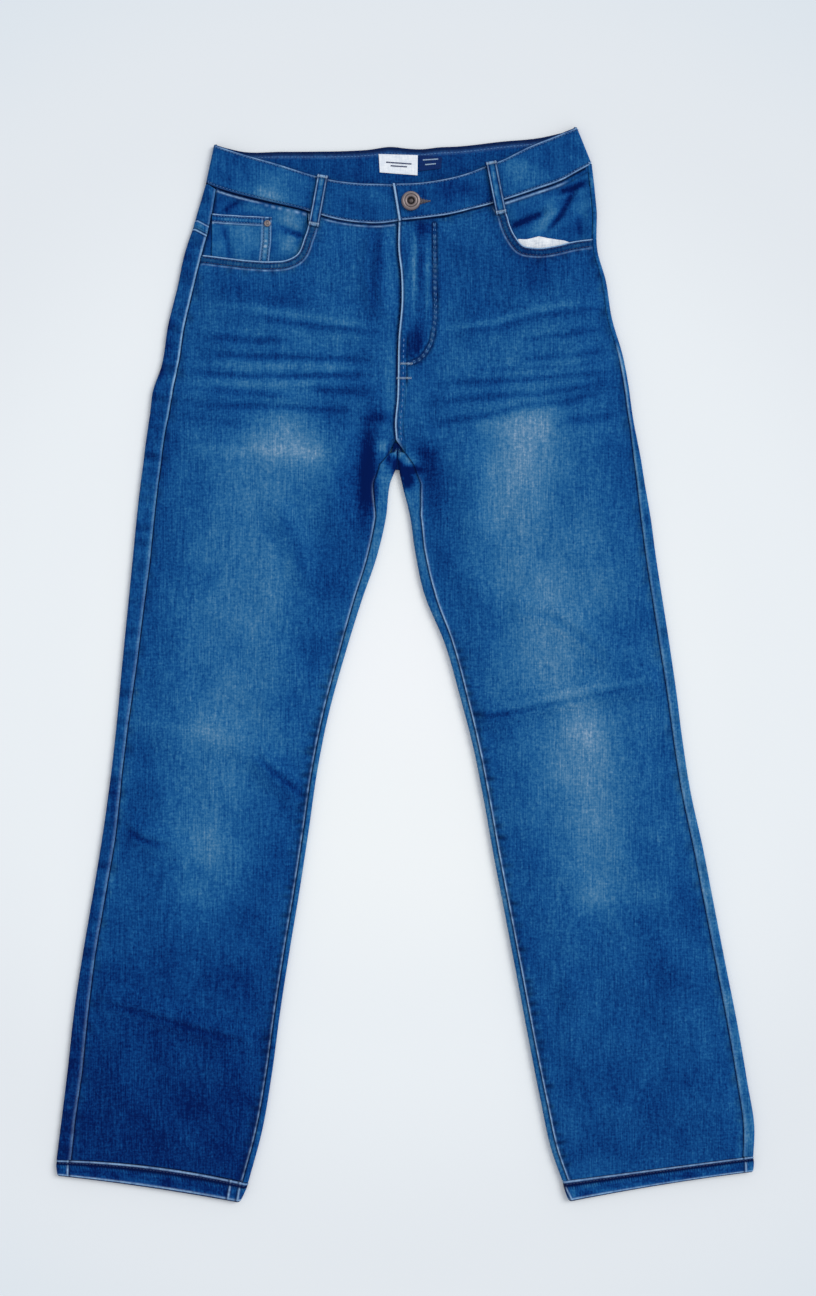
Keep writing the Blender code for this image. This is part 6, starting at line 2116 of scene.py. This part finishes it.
@dataclass
class Pockets(SubAssembly):
    """Facings, coin pocket and the white bag that peeps out."""

    @staticmethod
    def facing_outline(leg: LegPattern, lower: Line, waist: Line) -> Array:
        """Outline of a facing from its lower edge and the seams round it.

        Args:
            leg: the leg's pattern.
            lower: points of the part that lies under the front.
            waist: the waist seam.

        Returns:
            Points in the plane.
        """
        sign = leg.sign
        reach = abs(lower[0][0])
        seam = curve(waist)
        top = seam[(sign * seam[:, 0] > reach + 1.0)] - np.array([0.0, 0.4])
        corner_y = float(top[0][1]) - 1.2
        side = leg.side_seam[::-1]
        side = side[(side[:, 1] > lower[-1][1] + 2.0) & (side[:, 1] < corner_y - 3.0)]
        side = side - np.array([sign * GAP, 0.0])
        corner = np.array([[float(leg.outseam_x(corner_y)) - sign * GAP, corner_y]])
        top = top[sign * top[:, 0] < sign * corner[0, 0] - 2.0]
        fine = []
        for start, end in zip(lower, lower[1:]):
            count = max(1, int(math.dist(start, end) / 2.0))
            for step in range(count):
                share = step / count
                fine.append((start[0] + (end[0] - start[0]) * share, start[1] + (end[1] - start[1]) * share))
        return np.concatenate([np.array(fine), np.array([lower[-1]]), side, corner, top])

    @staticmethod
    def right_creases(x: Array, y: Array) -> Array:
        """Facing with the soft creases of the right pocket."""
        height = Relief.facing(x, y, RIGHT_MOUTH, RIGHT_LEG)
        folds = (
            Fold(((-116, 397), (-103, 391), (-91, 386)), 3, -0.9, 0.3),
            Fold(((-152, 416), (-164, 409)), 3, -0.8, 0.3),
            Fold(((-100, 404), (-94, 388), (-100, 372)), 5, 0.6),
            Fold(((-160, 420), (-146, 410)), 4, -0.6),
        )
        return height + sum(fold.height(x, y) for fold in folds)

    @staticmethod
    def left_creases(x: Array, y: Array) -> Array:
        """Facing with the sharp drags of the left pocket."""
        height = Relief.facing(x, y, LEFT_MOUTH, LEFT_LEG)
        folds = (
            Fold(((95, 394), (110, 401), (124, 406)), 2.6, -1.6, 0.3),
            Fold(((100, 404), (116, 411), (132, 414)), 4.5, 0.9),
            Fold(((152, 426), (139, 404), (126, 390)), 3, -1.4, -0.3),
            Fold(((140, 414), (128, 398)), 5, 0.7),
            Fold(((162, 434), (150, 428), (138, 424)), 2.6, -1.1, 0.3),
            Fold(((158, 404), (156, 386)), 4, -0.9),
        )
        return height + sum(fold.height(x, y) for fold in folds)

    @staticmethod
    def coin_top(x: Array, y: Array) -> Array:
        """Coin pocket on its facing, with its doubled hem and edge."""
        base = Relief.facing(x, y, RIGHT_MOUTH, RIGHT_LEG) + GAP + DENIM
        hem = 0.45 * smooth((y - along(COIN_POCKET[:3], x) + 8.0) / 1.2)
        edge = 0.35 * smooth((x + 131.5) / 1.2)
        soft = 0.25 * ripple(x, y, 33, 10.0, 24.0)
        drag = Fold(((-163, 392), (-160, 378), (-156, 366)), 3, -0.5).height(x, y)
        return base + np.maximum(hem, edge) + soft + drag

    @staticmethod
    def bag_top(x: Array, y: Array) -> Array:
        """White bag cloth, slightly crumpled."""
        base = Relief.facing(x, y, LEFT_MOUTH, LEFT_LEG) + GAP + BAG
        return base + 0.35 * ripple(x, y, 35, 7.0, 18.0) + 0.3

    def build(self) -> None:
        """Make the four pieces and sew the coin pocket."""
        right_waist, left_waist = curve(RIGHT_WAIST_SEAM[:-1]), curve(LEFT_WAIST_SEAM)
        right_mouth, left_mouth = curve(RIGHT_MOUTH), curve(LEFT_MOUTH)
        # The dark strokes along the facings' and coin pocket's creases are painted shade in them; the light
        # patches on the ridges beside them are painted highlights
        right_tone = MarkedTone(0.32, 36, [
            Patch(-103, 393, 13, 20, 10, 0.36), Patch(-98, 372, 12, 8, 0, 0.15),
            Stroke(((-114, 396), (-103, 391), (-91, 386)), 2.6, -0.34),
            Patch(-134, 410, 14, 4.5, -12, 0.26), Stroke(((-151, 417), (-165, 408)), 2.4, -0.3),
            Patch(-176, 400, 6, 14, 0, -0.22), Patch(-106, 404, 11, 7, -10, 0.14),
            Patch(-110, 378, 11, 12, 0, 0.12), Stroke(((-111, 391), (-102, 388), (-93, 385)), 2.4, -0.30),
        ])
        left_tone = MarkedTone(0.37, 37, [
            Patch(130, 404, 9, 14, -20, 0.30), Patch(118, 392, 14, 6, 0, 0.14),
            Patch(160, 412, 8, 12, 0, 0.14), Stroke(((95, 394), (110, 401), (125, 407)), 3, -0.46),
            Stroke(((152, 427), (139, 404), (126, 389)), 3, -0.42),
            Stroke(((163, 435), (150, 429), (138, 425)), 2.6, -0.42),
            Stroke(((158, 406), (155, 386)), 4, -0.22),
        ])
        coin_tone = MarkedTone(0.46, 38, [
            Patch(-146, 385, 20, 12, 0, 0.14), Stroke(((-164, 396), (-160, 378), (-157, 364)), 2.6, -0.24),
            Stroke(((-170, 401), (-148, 399.5), (-124, 398)), 3.4, 0.16),
            Stroke(((-125.5, 398), (-126, 380), (-128, 362)), 3.2, 0.18),
        ])
        coin_hem = np.array(COIN_POCKET[:3])
        coin_side = np.array(COIN_POCKET[2:5])
        jobs = (
            ("pocket_facing_right", self.facing_outline(RIGHT_LEG, RIGHT_FACING, RIGHT_WAIST_SEAM[:-1]),
             self.right_creases, DENIM, Wear(right_tone, [
                 SeamMark(right_waist, -0.6, 1, dark=0.8),
                 SeamMark(right_waist, -1.9, 0.7, worn=0.95, patchy=0.2, end=58),
                 SeamMark(right_waist, -2.8, 1.1, worn=0.45, patchy=0.9, pitch=7, start=52),
                 # Painted shade on the facing under the front's mouth edge
                 SeamMark(right_mouth, 1.4, 1.6, dark=0.5),
                 SeamMark(RIGHT_LEG.side_seam, 0.9, 1.5, dark=0.8)]), self.finishes.facing, "denim_facing"),
            ("pocket_facing_left", self.facing_outline(LEFT_LEG, LEFT_FACING, LEFT_WAIST_SEAM),
             self.left_creases, DENIM, Wear(left_tone, [
                 SeamMark(left_waist, 0.6, 0.9, dark=0.85),
                 SeamMark(left_waist, 2.6, 0.9, worn=0.7, rise=0.2, patchy=0.4, start=24),
                 SeamMark(left_waist, 4, 0.8, dark=0.5, patchy=0.6),
                 # Painted shade on the facing under the front's mouth edge
                 SeamMark(left_mouth, -1, 1.6, dark=0.6)]), self.finishes.facing, "denim_facing"),
            ("coin_pocket", curve_loop(COIN_POCKET), self.coin_top, DENIM, Wear(coin_tone, [
                SeamMark(coin_hem, -4, 4.1, tone=-0.22, rise=0.3, power=8),
                SeamMark(coin_hem, -0.4, 0.5, worn=0.9), SeamMark(coin_hem, -1.9, 0.6, dark=0.85, rise=-0.2),
                SeamMark(coin_hem, -4, 1.1, tone=0.36, pitch=2.8),
                SeamMark(coin_hem, -6.2, 0.6, dark=0.8, rise=-0.2),
                SeamMark(coin_hem, -7.6, 0.5, worn=0.7), SeamMark(coin_hem, -8.6, 0.5, dark=0.4),
                SeamMark(coin_side, -0.5, 0.5, worn=0.5), SeamMark(coin_side, -1.9, 0.6, dark=0.8, rise=-0.2),
                SeamMark(coin_side, -4.6, 1.5, tone=0.30, pitch=5, patchy=0.5),
                SeamMark(coin_side, -6.9, 0.6, dark=0.75, rise=-0.2),
                SeamMark(coin_side, -8.2, 0.5, worn=0.5),
                # Painted shade on the coin pocket under the front's mouth edge
                SeamMark(right_mouth, 1.2, 1.5, dark=0.4)]), self.finishes.facing, "denim_front"),
            ("pocket_bag_left", curve_loop(LEFT_BAG), self.bag_top, BAG, Wear(0.5), self.finishes.bag,
             "pocket_bag"),
        )
        for name, outline, top, thickness, wear, finish, slot in jobs:
            sheet = ClothSheet(
                name + "_cloth", outline, top, thickness, 0.95, wear, 0.3, (0.35, 0.8, 1.3),
                under_spacing=4.0)
            piece = sheet.build(finish)
            self.dress(name, piece, slot, name)
        rows = []
        hem, side = curve(COIN_POCKET[:3], 1.5)[2:-2], curve(COIN_POCKET[2:5], 1.5)[4:]
        for line, distances in ((hem, (-1.9, -6.2)), (side, (-1.9, -6.9))):
            for distance in distances:
                path = lifted(offset_line(line, distance), self.coin_top)
                rows.append(StitchRow(path, 2.6, 2.0, 0.55, 0.5))
        self.sew_rows("stitches_coin_pocket", rows, Thread.BLUE, 15, "denim_front")


def curve_loop(corners: Line, spacing: float = 1.6) -> Array:
    """Closed outline with points added along its straight sides."""
    fine = []
    for start, end in zip(corners, corners[1:] + corners[:1]):
        count = max(1, round(math.dist(start, end) / spacing))
        for step in range(count):
            share = step / count
            fine.append((start[0] + (end[0] - start[0]) * share, start[1] + (end[1] - start[1]) * share))
    return np.array(fine)


@dataclass
class BeltLoops(SubAssembly):
    """Both front belt loops, with folded and tacked ends."""

    width: float = 10.0
    cloth: float = 1.6

    def build(self) -> None:
        """Make the loops and their tacks."""
        tacks = []
        for word, ends in (("right", RIGHT_LOOP), ("left", LEFT_LOOP)):
            upper, lower = np.array(ends[0]), np.array(ends[1])
            length = float(np.hypot(*(lower - upper)))
            run = (lower - upper) / length
            cross = np.array([-run[1], run[0]])
            cross = cross if cross[0] > 0 else -cross
            places = np.concatenate([[0.0, 0.5, 1.2], np.linspace(2.0, length - 2.0, 46),
                                     [length - 1.2, length - 0.5, length]])
            u = np.array([-0.5, -0.47, -0.42, -0.36, -0.28, -0.2, -0.1, -0.04, 0.0, 0.04, 0.1, 0.2,
                          0.28, 0.36, 0.42, 0.47, 0.5])
            shape = 0.55 * bell(np.abs(u), 0.40, 0.06) - 0.25 * bell(u, 0.0, 0.05)
            shape = shape - 0.5 * smooth((np.abs(u) - 0.44) / 0.06)
            loops, marks = [], []
            for place in places:
                share = place / length
                seat = BAND_TOP + GAP + 1.6 * float(smooth((share - 0.55) / 0.3))
                lift = 0.9 * math.sin(math.pi * min(max(share, 0.0), 1.0)) ** 0.5
                end = min(place, length - place)
                fold = 0.9 * (1.0 - float(smooth((end - 3.5) / 2.0))) - 0.7 * (1.0 - float(smooth(end / 0.9)))
                xy = (upper + run * place)[None, :] + cross[None, :] * (u * self.width)[:, None]
                wave = 0.12 * ripple(xy[:, 0], xy[:, 1], 27, 5.0, 14.0)
                top = seat + lift + self.cloth + shape + fold * 0.7 + wave
                loops.append(np.concatenate([
                    np.stack([xy[:, 0], xy[:, 1], top], 1),
                    np.stack([xy[::-1, 0], xy[::-1, 1], np.full(len(u), seat + lift)], 1)]))
                marks.append(np.stack([np.concatenate([u, u[::-1]]), np.full(2 * len(u), end)], 1))
            stack, marks = np.array(loops), np.array(marks)
            across, end = np.abs(marks[..., 0]), marks[..., 1]
            uneven = ripple(stack[..., 0], stack[..., 1], 28, 4.0, 14.0)
            worn = 1.0 * bell(across, 0.38, 0.04) * (0.85 + 0.2 * uneven)
            worn = np.maximum(worn, 0.75 * bell(end, 0.9, 0.7))
            # The dark at the loop's long edges is painted shade where they meet the band
            dark = 0.95 * bell(across, 0.5, 0.06) + 0.85 * bell(across, 0.27, 0.05)
            dark = np.maximum(dark, 0.6 * bell(end, 3.4, 0.8))
            tone = 0.34 + 0.16 * uneven + 0.28 * bell(across, 0.0, 0.16)
            values = mesh_values(tone, worn, dark)
            faces = close_loft(stack, True)
            piece = make_piece(
                f"belt_loop_{word}_denim", stack.reshape(-1, 3), faces, self.finishes.band, values)
            self.dress(word, piece, "denim_waist", f"belt_loop_front_{word}")
            for place in (2.2, length - 2.2):
                near = int(np.argmin(np.abs(places - place)))
                path = stack[near, 2:15] + np.array([0.0, 0.0, 0.2])
                tacks.append(StitchRow(path, 1.0, 2.2, 0.7, 0.6, math.radians(78.0)))
        self.sew_rows("bar_tacks_belt_loops", tacks, Thread.PALE, 17, "denim_waist")


@dataclass
class Fasteners(SubAssembly):
    """The ring-shaped shank button, its buttonhole and the coin rivet."""

    button_centre: tuple[float, float] = (4.9, 416.2)
    rivet_centre: tuple[float, float] = (-124.3, 396.8)

    def turned(self, name: str, centre: tuple[float, float], base: float,
               profile: list[tuple[float, float, float]], count: int) -> bpy.types.Object:
        """Turn a round piece from rows of radius, height and rub.

        Args:
            name: the piece's name.
            centre: its middle.
            base: height of its foot.
            profile: rows of radius, height and how rubbed the metal is.
            count: points round it.

        Returns:
            The piece.
        """
        rows = resample(np.array(profile), np.arange(len(profile), dtype=float), 0.25)
        angle = np.linspace(0.0, 2 * math.pi, count, endpoint=False)
        x = centre[0] + rows[:, :1] * np.cos(angle)[None, :]
        y = centre[1] + rows[:, :1] * np.sin(angle)[None, :]
        z = base + rows[:, 1:2] + 0.0 * x
        stack = np.stack([x, y, z], -1)
        points = stack.reshape(-1, 3)
        faces = []
        for row in range(len(rows) - 1):
            for i in range(count):
                j = (i + 1) % count
                low, high = row * count, (row + 1) * count
                faces.append((low + i, low + j, high + j, high + i))
        last = (len(rows) - 1) * count
        faces.append([last + i for i in range(count)])
        faces.append([i for i in reversed(range(count))])
        rub = (rows[:, 2:3] + 0.0 * x).ravel()
        return make_piece(name, points, faces, self.finishes.metal, {"worn": rub}, 50.0)

    def buttonhole(self) -> None:
        """Make the whipped tail of the buttonhole that shows beside the button."""
        level = BAND_TOP + LAP_RISE + 0.7
        y = self.button_centre[1]
        rows = []
        for start, end, length in (
            (12.0, 14.6, 7.0), (14.6, 17.0, 5.0), (17.0, 19.4, 3.4), (19.4, 22.2, 1.9),
        ):
            line = np.array([(start, y - 0.4, level), (end, y + 0.2, level)])
            rows.append(StitchRow(line, 0.5, length, 0.6, 0.9, math.radians(84.0)))
        self.sew_rows("buttonhole_thread", rows, Thread.COPPER, 19, "denim_waist")

    def build(self) -> None:
        """Make the three pieces."""
        level = BAND_TOP + LAP_RISE + GAP
        button = self.turned("button_ring", self.button_centre, level, [
            (7.6, 0.0, 0.2), (8.6, 0.5, 0.4), (8.75, 1.3, 0.7), (8.45, 2.3, 0.9), (7.7, 3.1, 1.0),
            (6.8, 3.45, 0.9), (6.1, 3.2, 0.35), (5.6, 3.1, 0.25), (5.0, 3.35, 0.75), (4.2, 3.3, 0.7),
            (3.4, 2.7, 0.35), (2.9, 1.9, 0.1), (2.3, 1.5, 0.0), (1.5, 1.75, 0.25), (0.6, 1.9, 0.3),
        ], 56)
        self.dress("button", button, "metal", "button")
        rivet = self.turned("coin_rivet_cap", self.rivet_centre, TOP + GAP, [
            (2.5, 0.0, 0.2), (3.0, 0.3, 0.5), (2.8, 0.9, 0.8), (2.1, 1.25, 1.0), (1.5, 1.1, 0.3),
            (1.0, 1.2, 0.6), (0.4, 1.35, 0.9),
        ], 32)
        self.dress("rivet", rivet, "metal", "coin_rivet")
        self.buttonhole()


@dataclass
class Labels(SubAssembly):
    """Two bare woven labels with plain bars, inside the back of the band."""

    @staticmethod
    def tape_top(x: Array, y: Array) -> Array:
        """Top of both labels, slightly wavy."""
        return LABEL_TOP + 0.10 * ripple(x, y, 39, 8.0, 20.0)

    def build(self) -> None:
        """Make both labels and the plain bars on them."""
        for name, corners, finish in (
            ("label_white", WHITE_LABEL, self.finishes.white_label),
            ("label_blue", BLUE_LABEL, self.finishes.blue_label),
        ):
            sheet = ClothSheet(
                name + "_tape", curve_loop(corners), self.tape_top, LABEL, 1.3, Wear(0.5), 0.2, (0.4, 0.9))
            self.dress(name, sheet.build(finish), name, name)
        for name, colour, seed, width, ends in (
            ("label_white", Thread.NAVY, 21, 1.5, ((-17.0, 5.0, 452.6, 451.0), (-13.0, 1.0, 449.4, 448.4))),
            ("label_blue", Thread.PALE, 22, 1.3, ((16.0, 29.0, 454.6, 455.4), (18.0, 27.0, 450.4, 451.2))),
        ):
            bars = []
            for x0, x1, y0, y1 in ends:
                line = np.array([(x0, y0, LABEL_TOP + 0.2), (x1, y1, LABEL_TOP + 0.2)])
                bars.append(StitchRow(line, 0.8, 0.9, width, 0.25))
            self.sew_rows(name + "_bars", bars, colour, seed, name)


@dataclass
class Studio:
    """Pale floor, soft light from the upper right and the top-down camera."""

    finishes: Wardrobe
    lens: float = 50.0
    sensor: float = 36.0
    frame_height: float = 1.1664
    window: float = 1.75
    window_spread: float = 32.0
    sky: float = 0.66
    half_board: float = 3.0
    board_level: float = -0.0002
    centre: tuple[float, float] = (0.00225, 0.01485)

    def build(self) -> None:
        """Make the floor, the lights and the camera."""
        half, level = self.half_board, self.board_level
        mesh = bpy.data.meshes.new("floor")
        mesh.from_pydata(
            [(-half, -half, level), (half, -half, level), (half, half, level), (-half, half, level)],
            [], [(0, 1, 2, 3)])
        mesh.materials.append(self.finishes.floor)
        floor = bpy.data.objects.new("floor", mesh)
        bpy.context.scene.collection.objects.link(floor)
        self.sun("window", (0.80, 0.42, 0.80), self.window, self.window_spread, "#fffdf9")
        world = bpy.data.worlds.new("studio_air")
        world.use_nodes = True
        sky = world.node_tree.nodes["Background"]
        sky.inputs["Color"].default_value = linear("#fbfdff")
        sky.inputs["Strength"].default_value = self.sky
        bpy.context.scene.world = world
        data = bpy.data.cameras.new("camera")
        data.lens = self.lens
        data.sensor_width = self.sensor
        distance = self.frame_height / 2 / (self.sensor / 2 / self.lens)
        camera = bpy.data.objects.new("camera", data)
        camera.location = (self.centre[0], self.centre[1], distance + 0.005)
        bpy.context.scene.collection.objects.link(camera)
        bpy.context.scene.camera = camera
        bpy.context.scene.view_settings.view_transform = "Standard"

    @staticmethod
    def sun(name: str, towards: tuple[float, float, float], power: float, spread: float, colour: str) -> None:
        """Add a wide soft sun, seen from the jeans in the given direction."""
        data = bpy.data.lights.new(name, "SUN")
        data.energy = power
        data.angle = math.radians(spread)
        data.color = linear(colour)[:3]
        lamp = bpy.data.objects.new(name, data)
        lamp.location = towards
        lamp.rotation_euler = (-Vector(towards)).to_track_quat("-Z", "Y").to_euler()
        bpy.context.scene.collection.objects.link(lamp)


def main() -> None:
    """Dress the frame piece by piece and set up the studio."""
    logging.basicConfig(level=logging.INFO, format="%(name)s: %(message)s")
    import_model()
    finishes = Wardrobe()
    stitches = StitchTree()
    fronts = Fronts(finishes, stitches)
    backs = Backs(finishes, stitches)
    hems = Hems(finishes, stitches)
    band = Waistband(finishes, stitches)
    pockets = Pockets(finishes, stitches)
    loops = BeltLoops(finishes, stitches)
    metal = Fasteners(finishes, stitches)
    labels = Labels(finishes, stitches)
    for part in (backs, fronts, hems, band, pockets, loops, metal, labels):
        part.build()
        LOG.info("built %s: %s", type(part).__name__, ", ".join(part.pieces))
    Studio(finishes).build()
    LOG.info("studio is set")


if __name__ == "__main__":
    main()
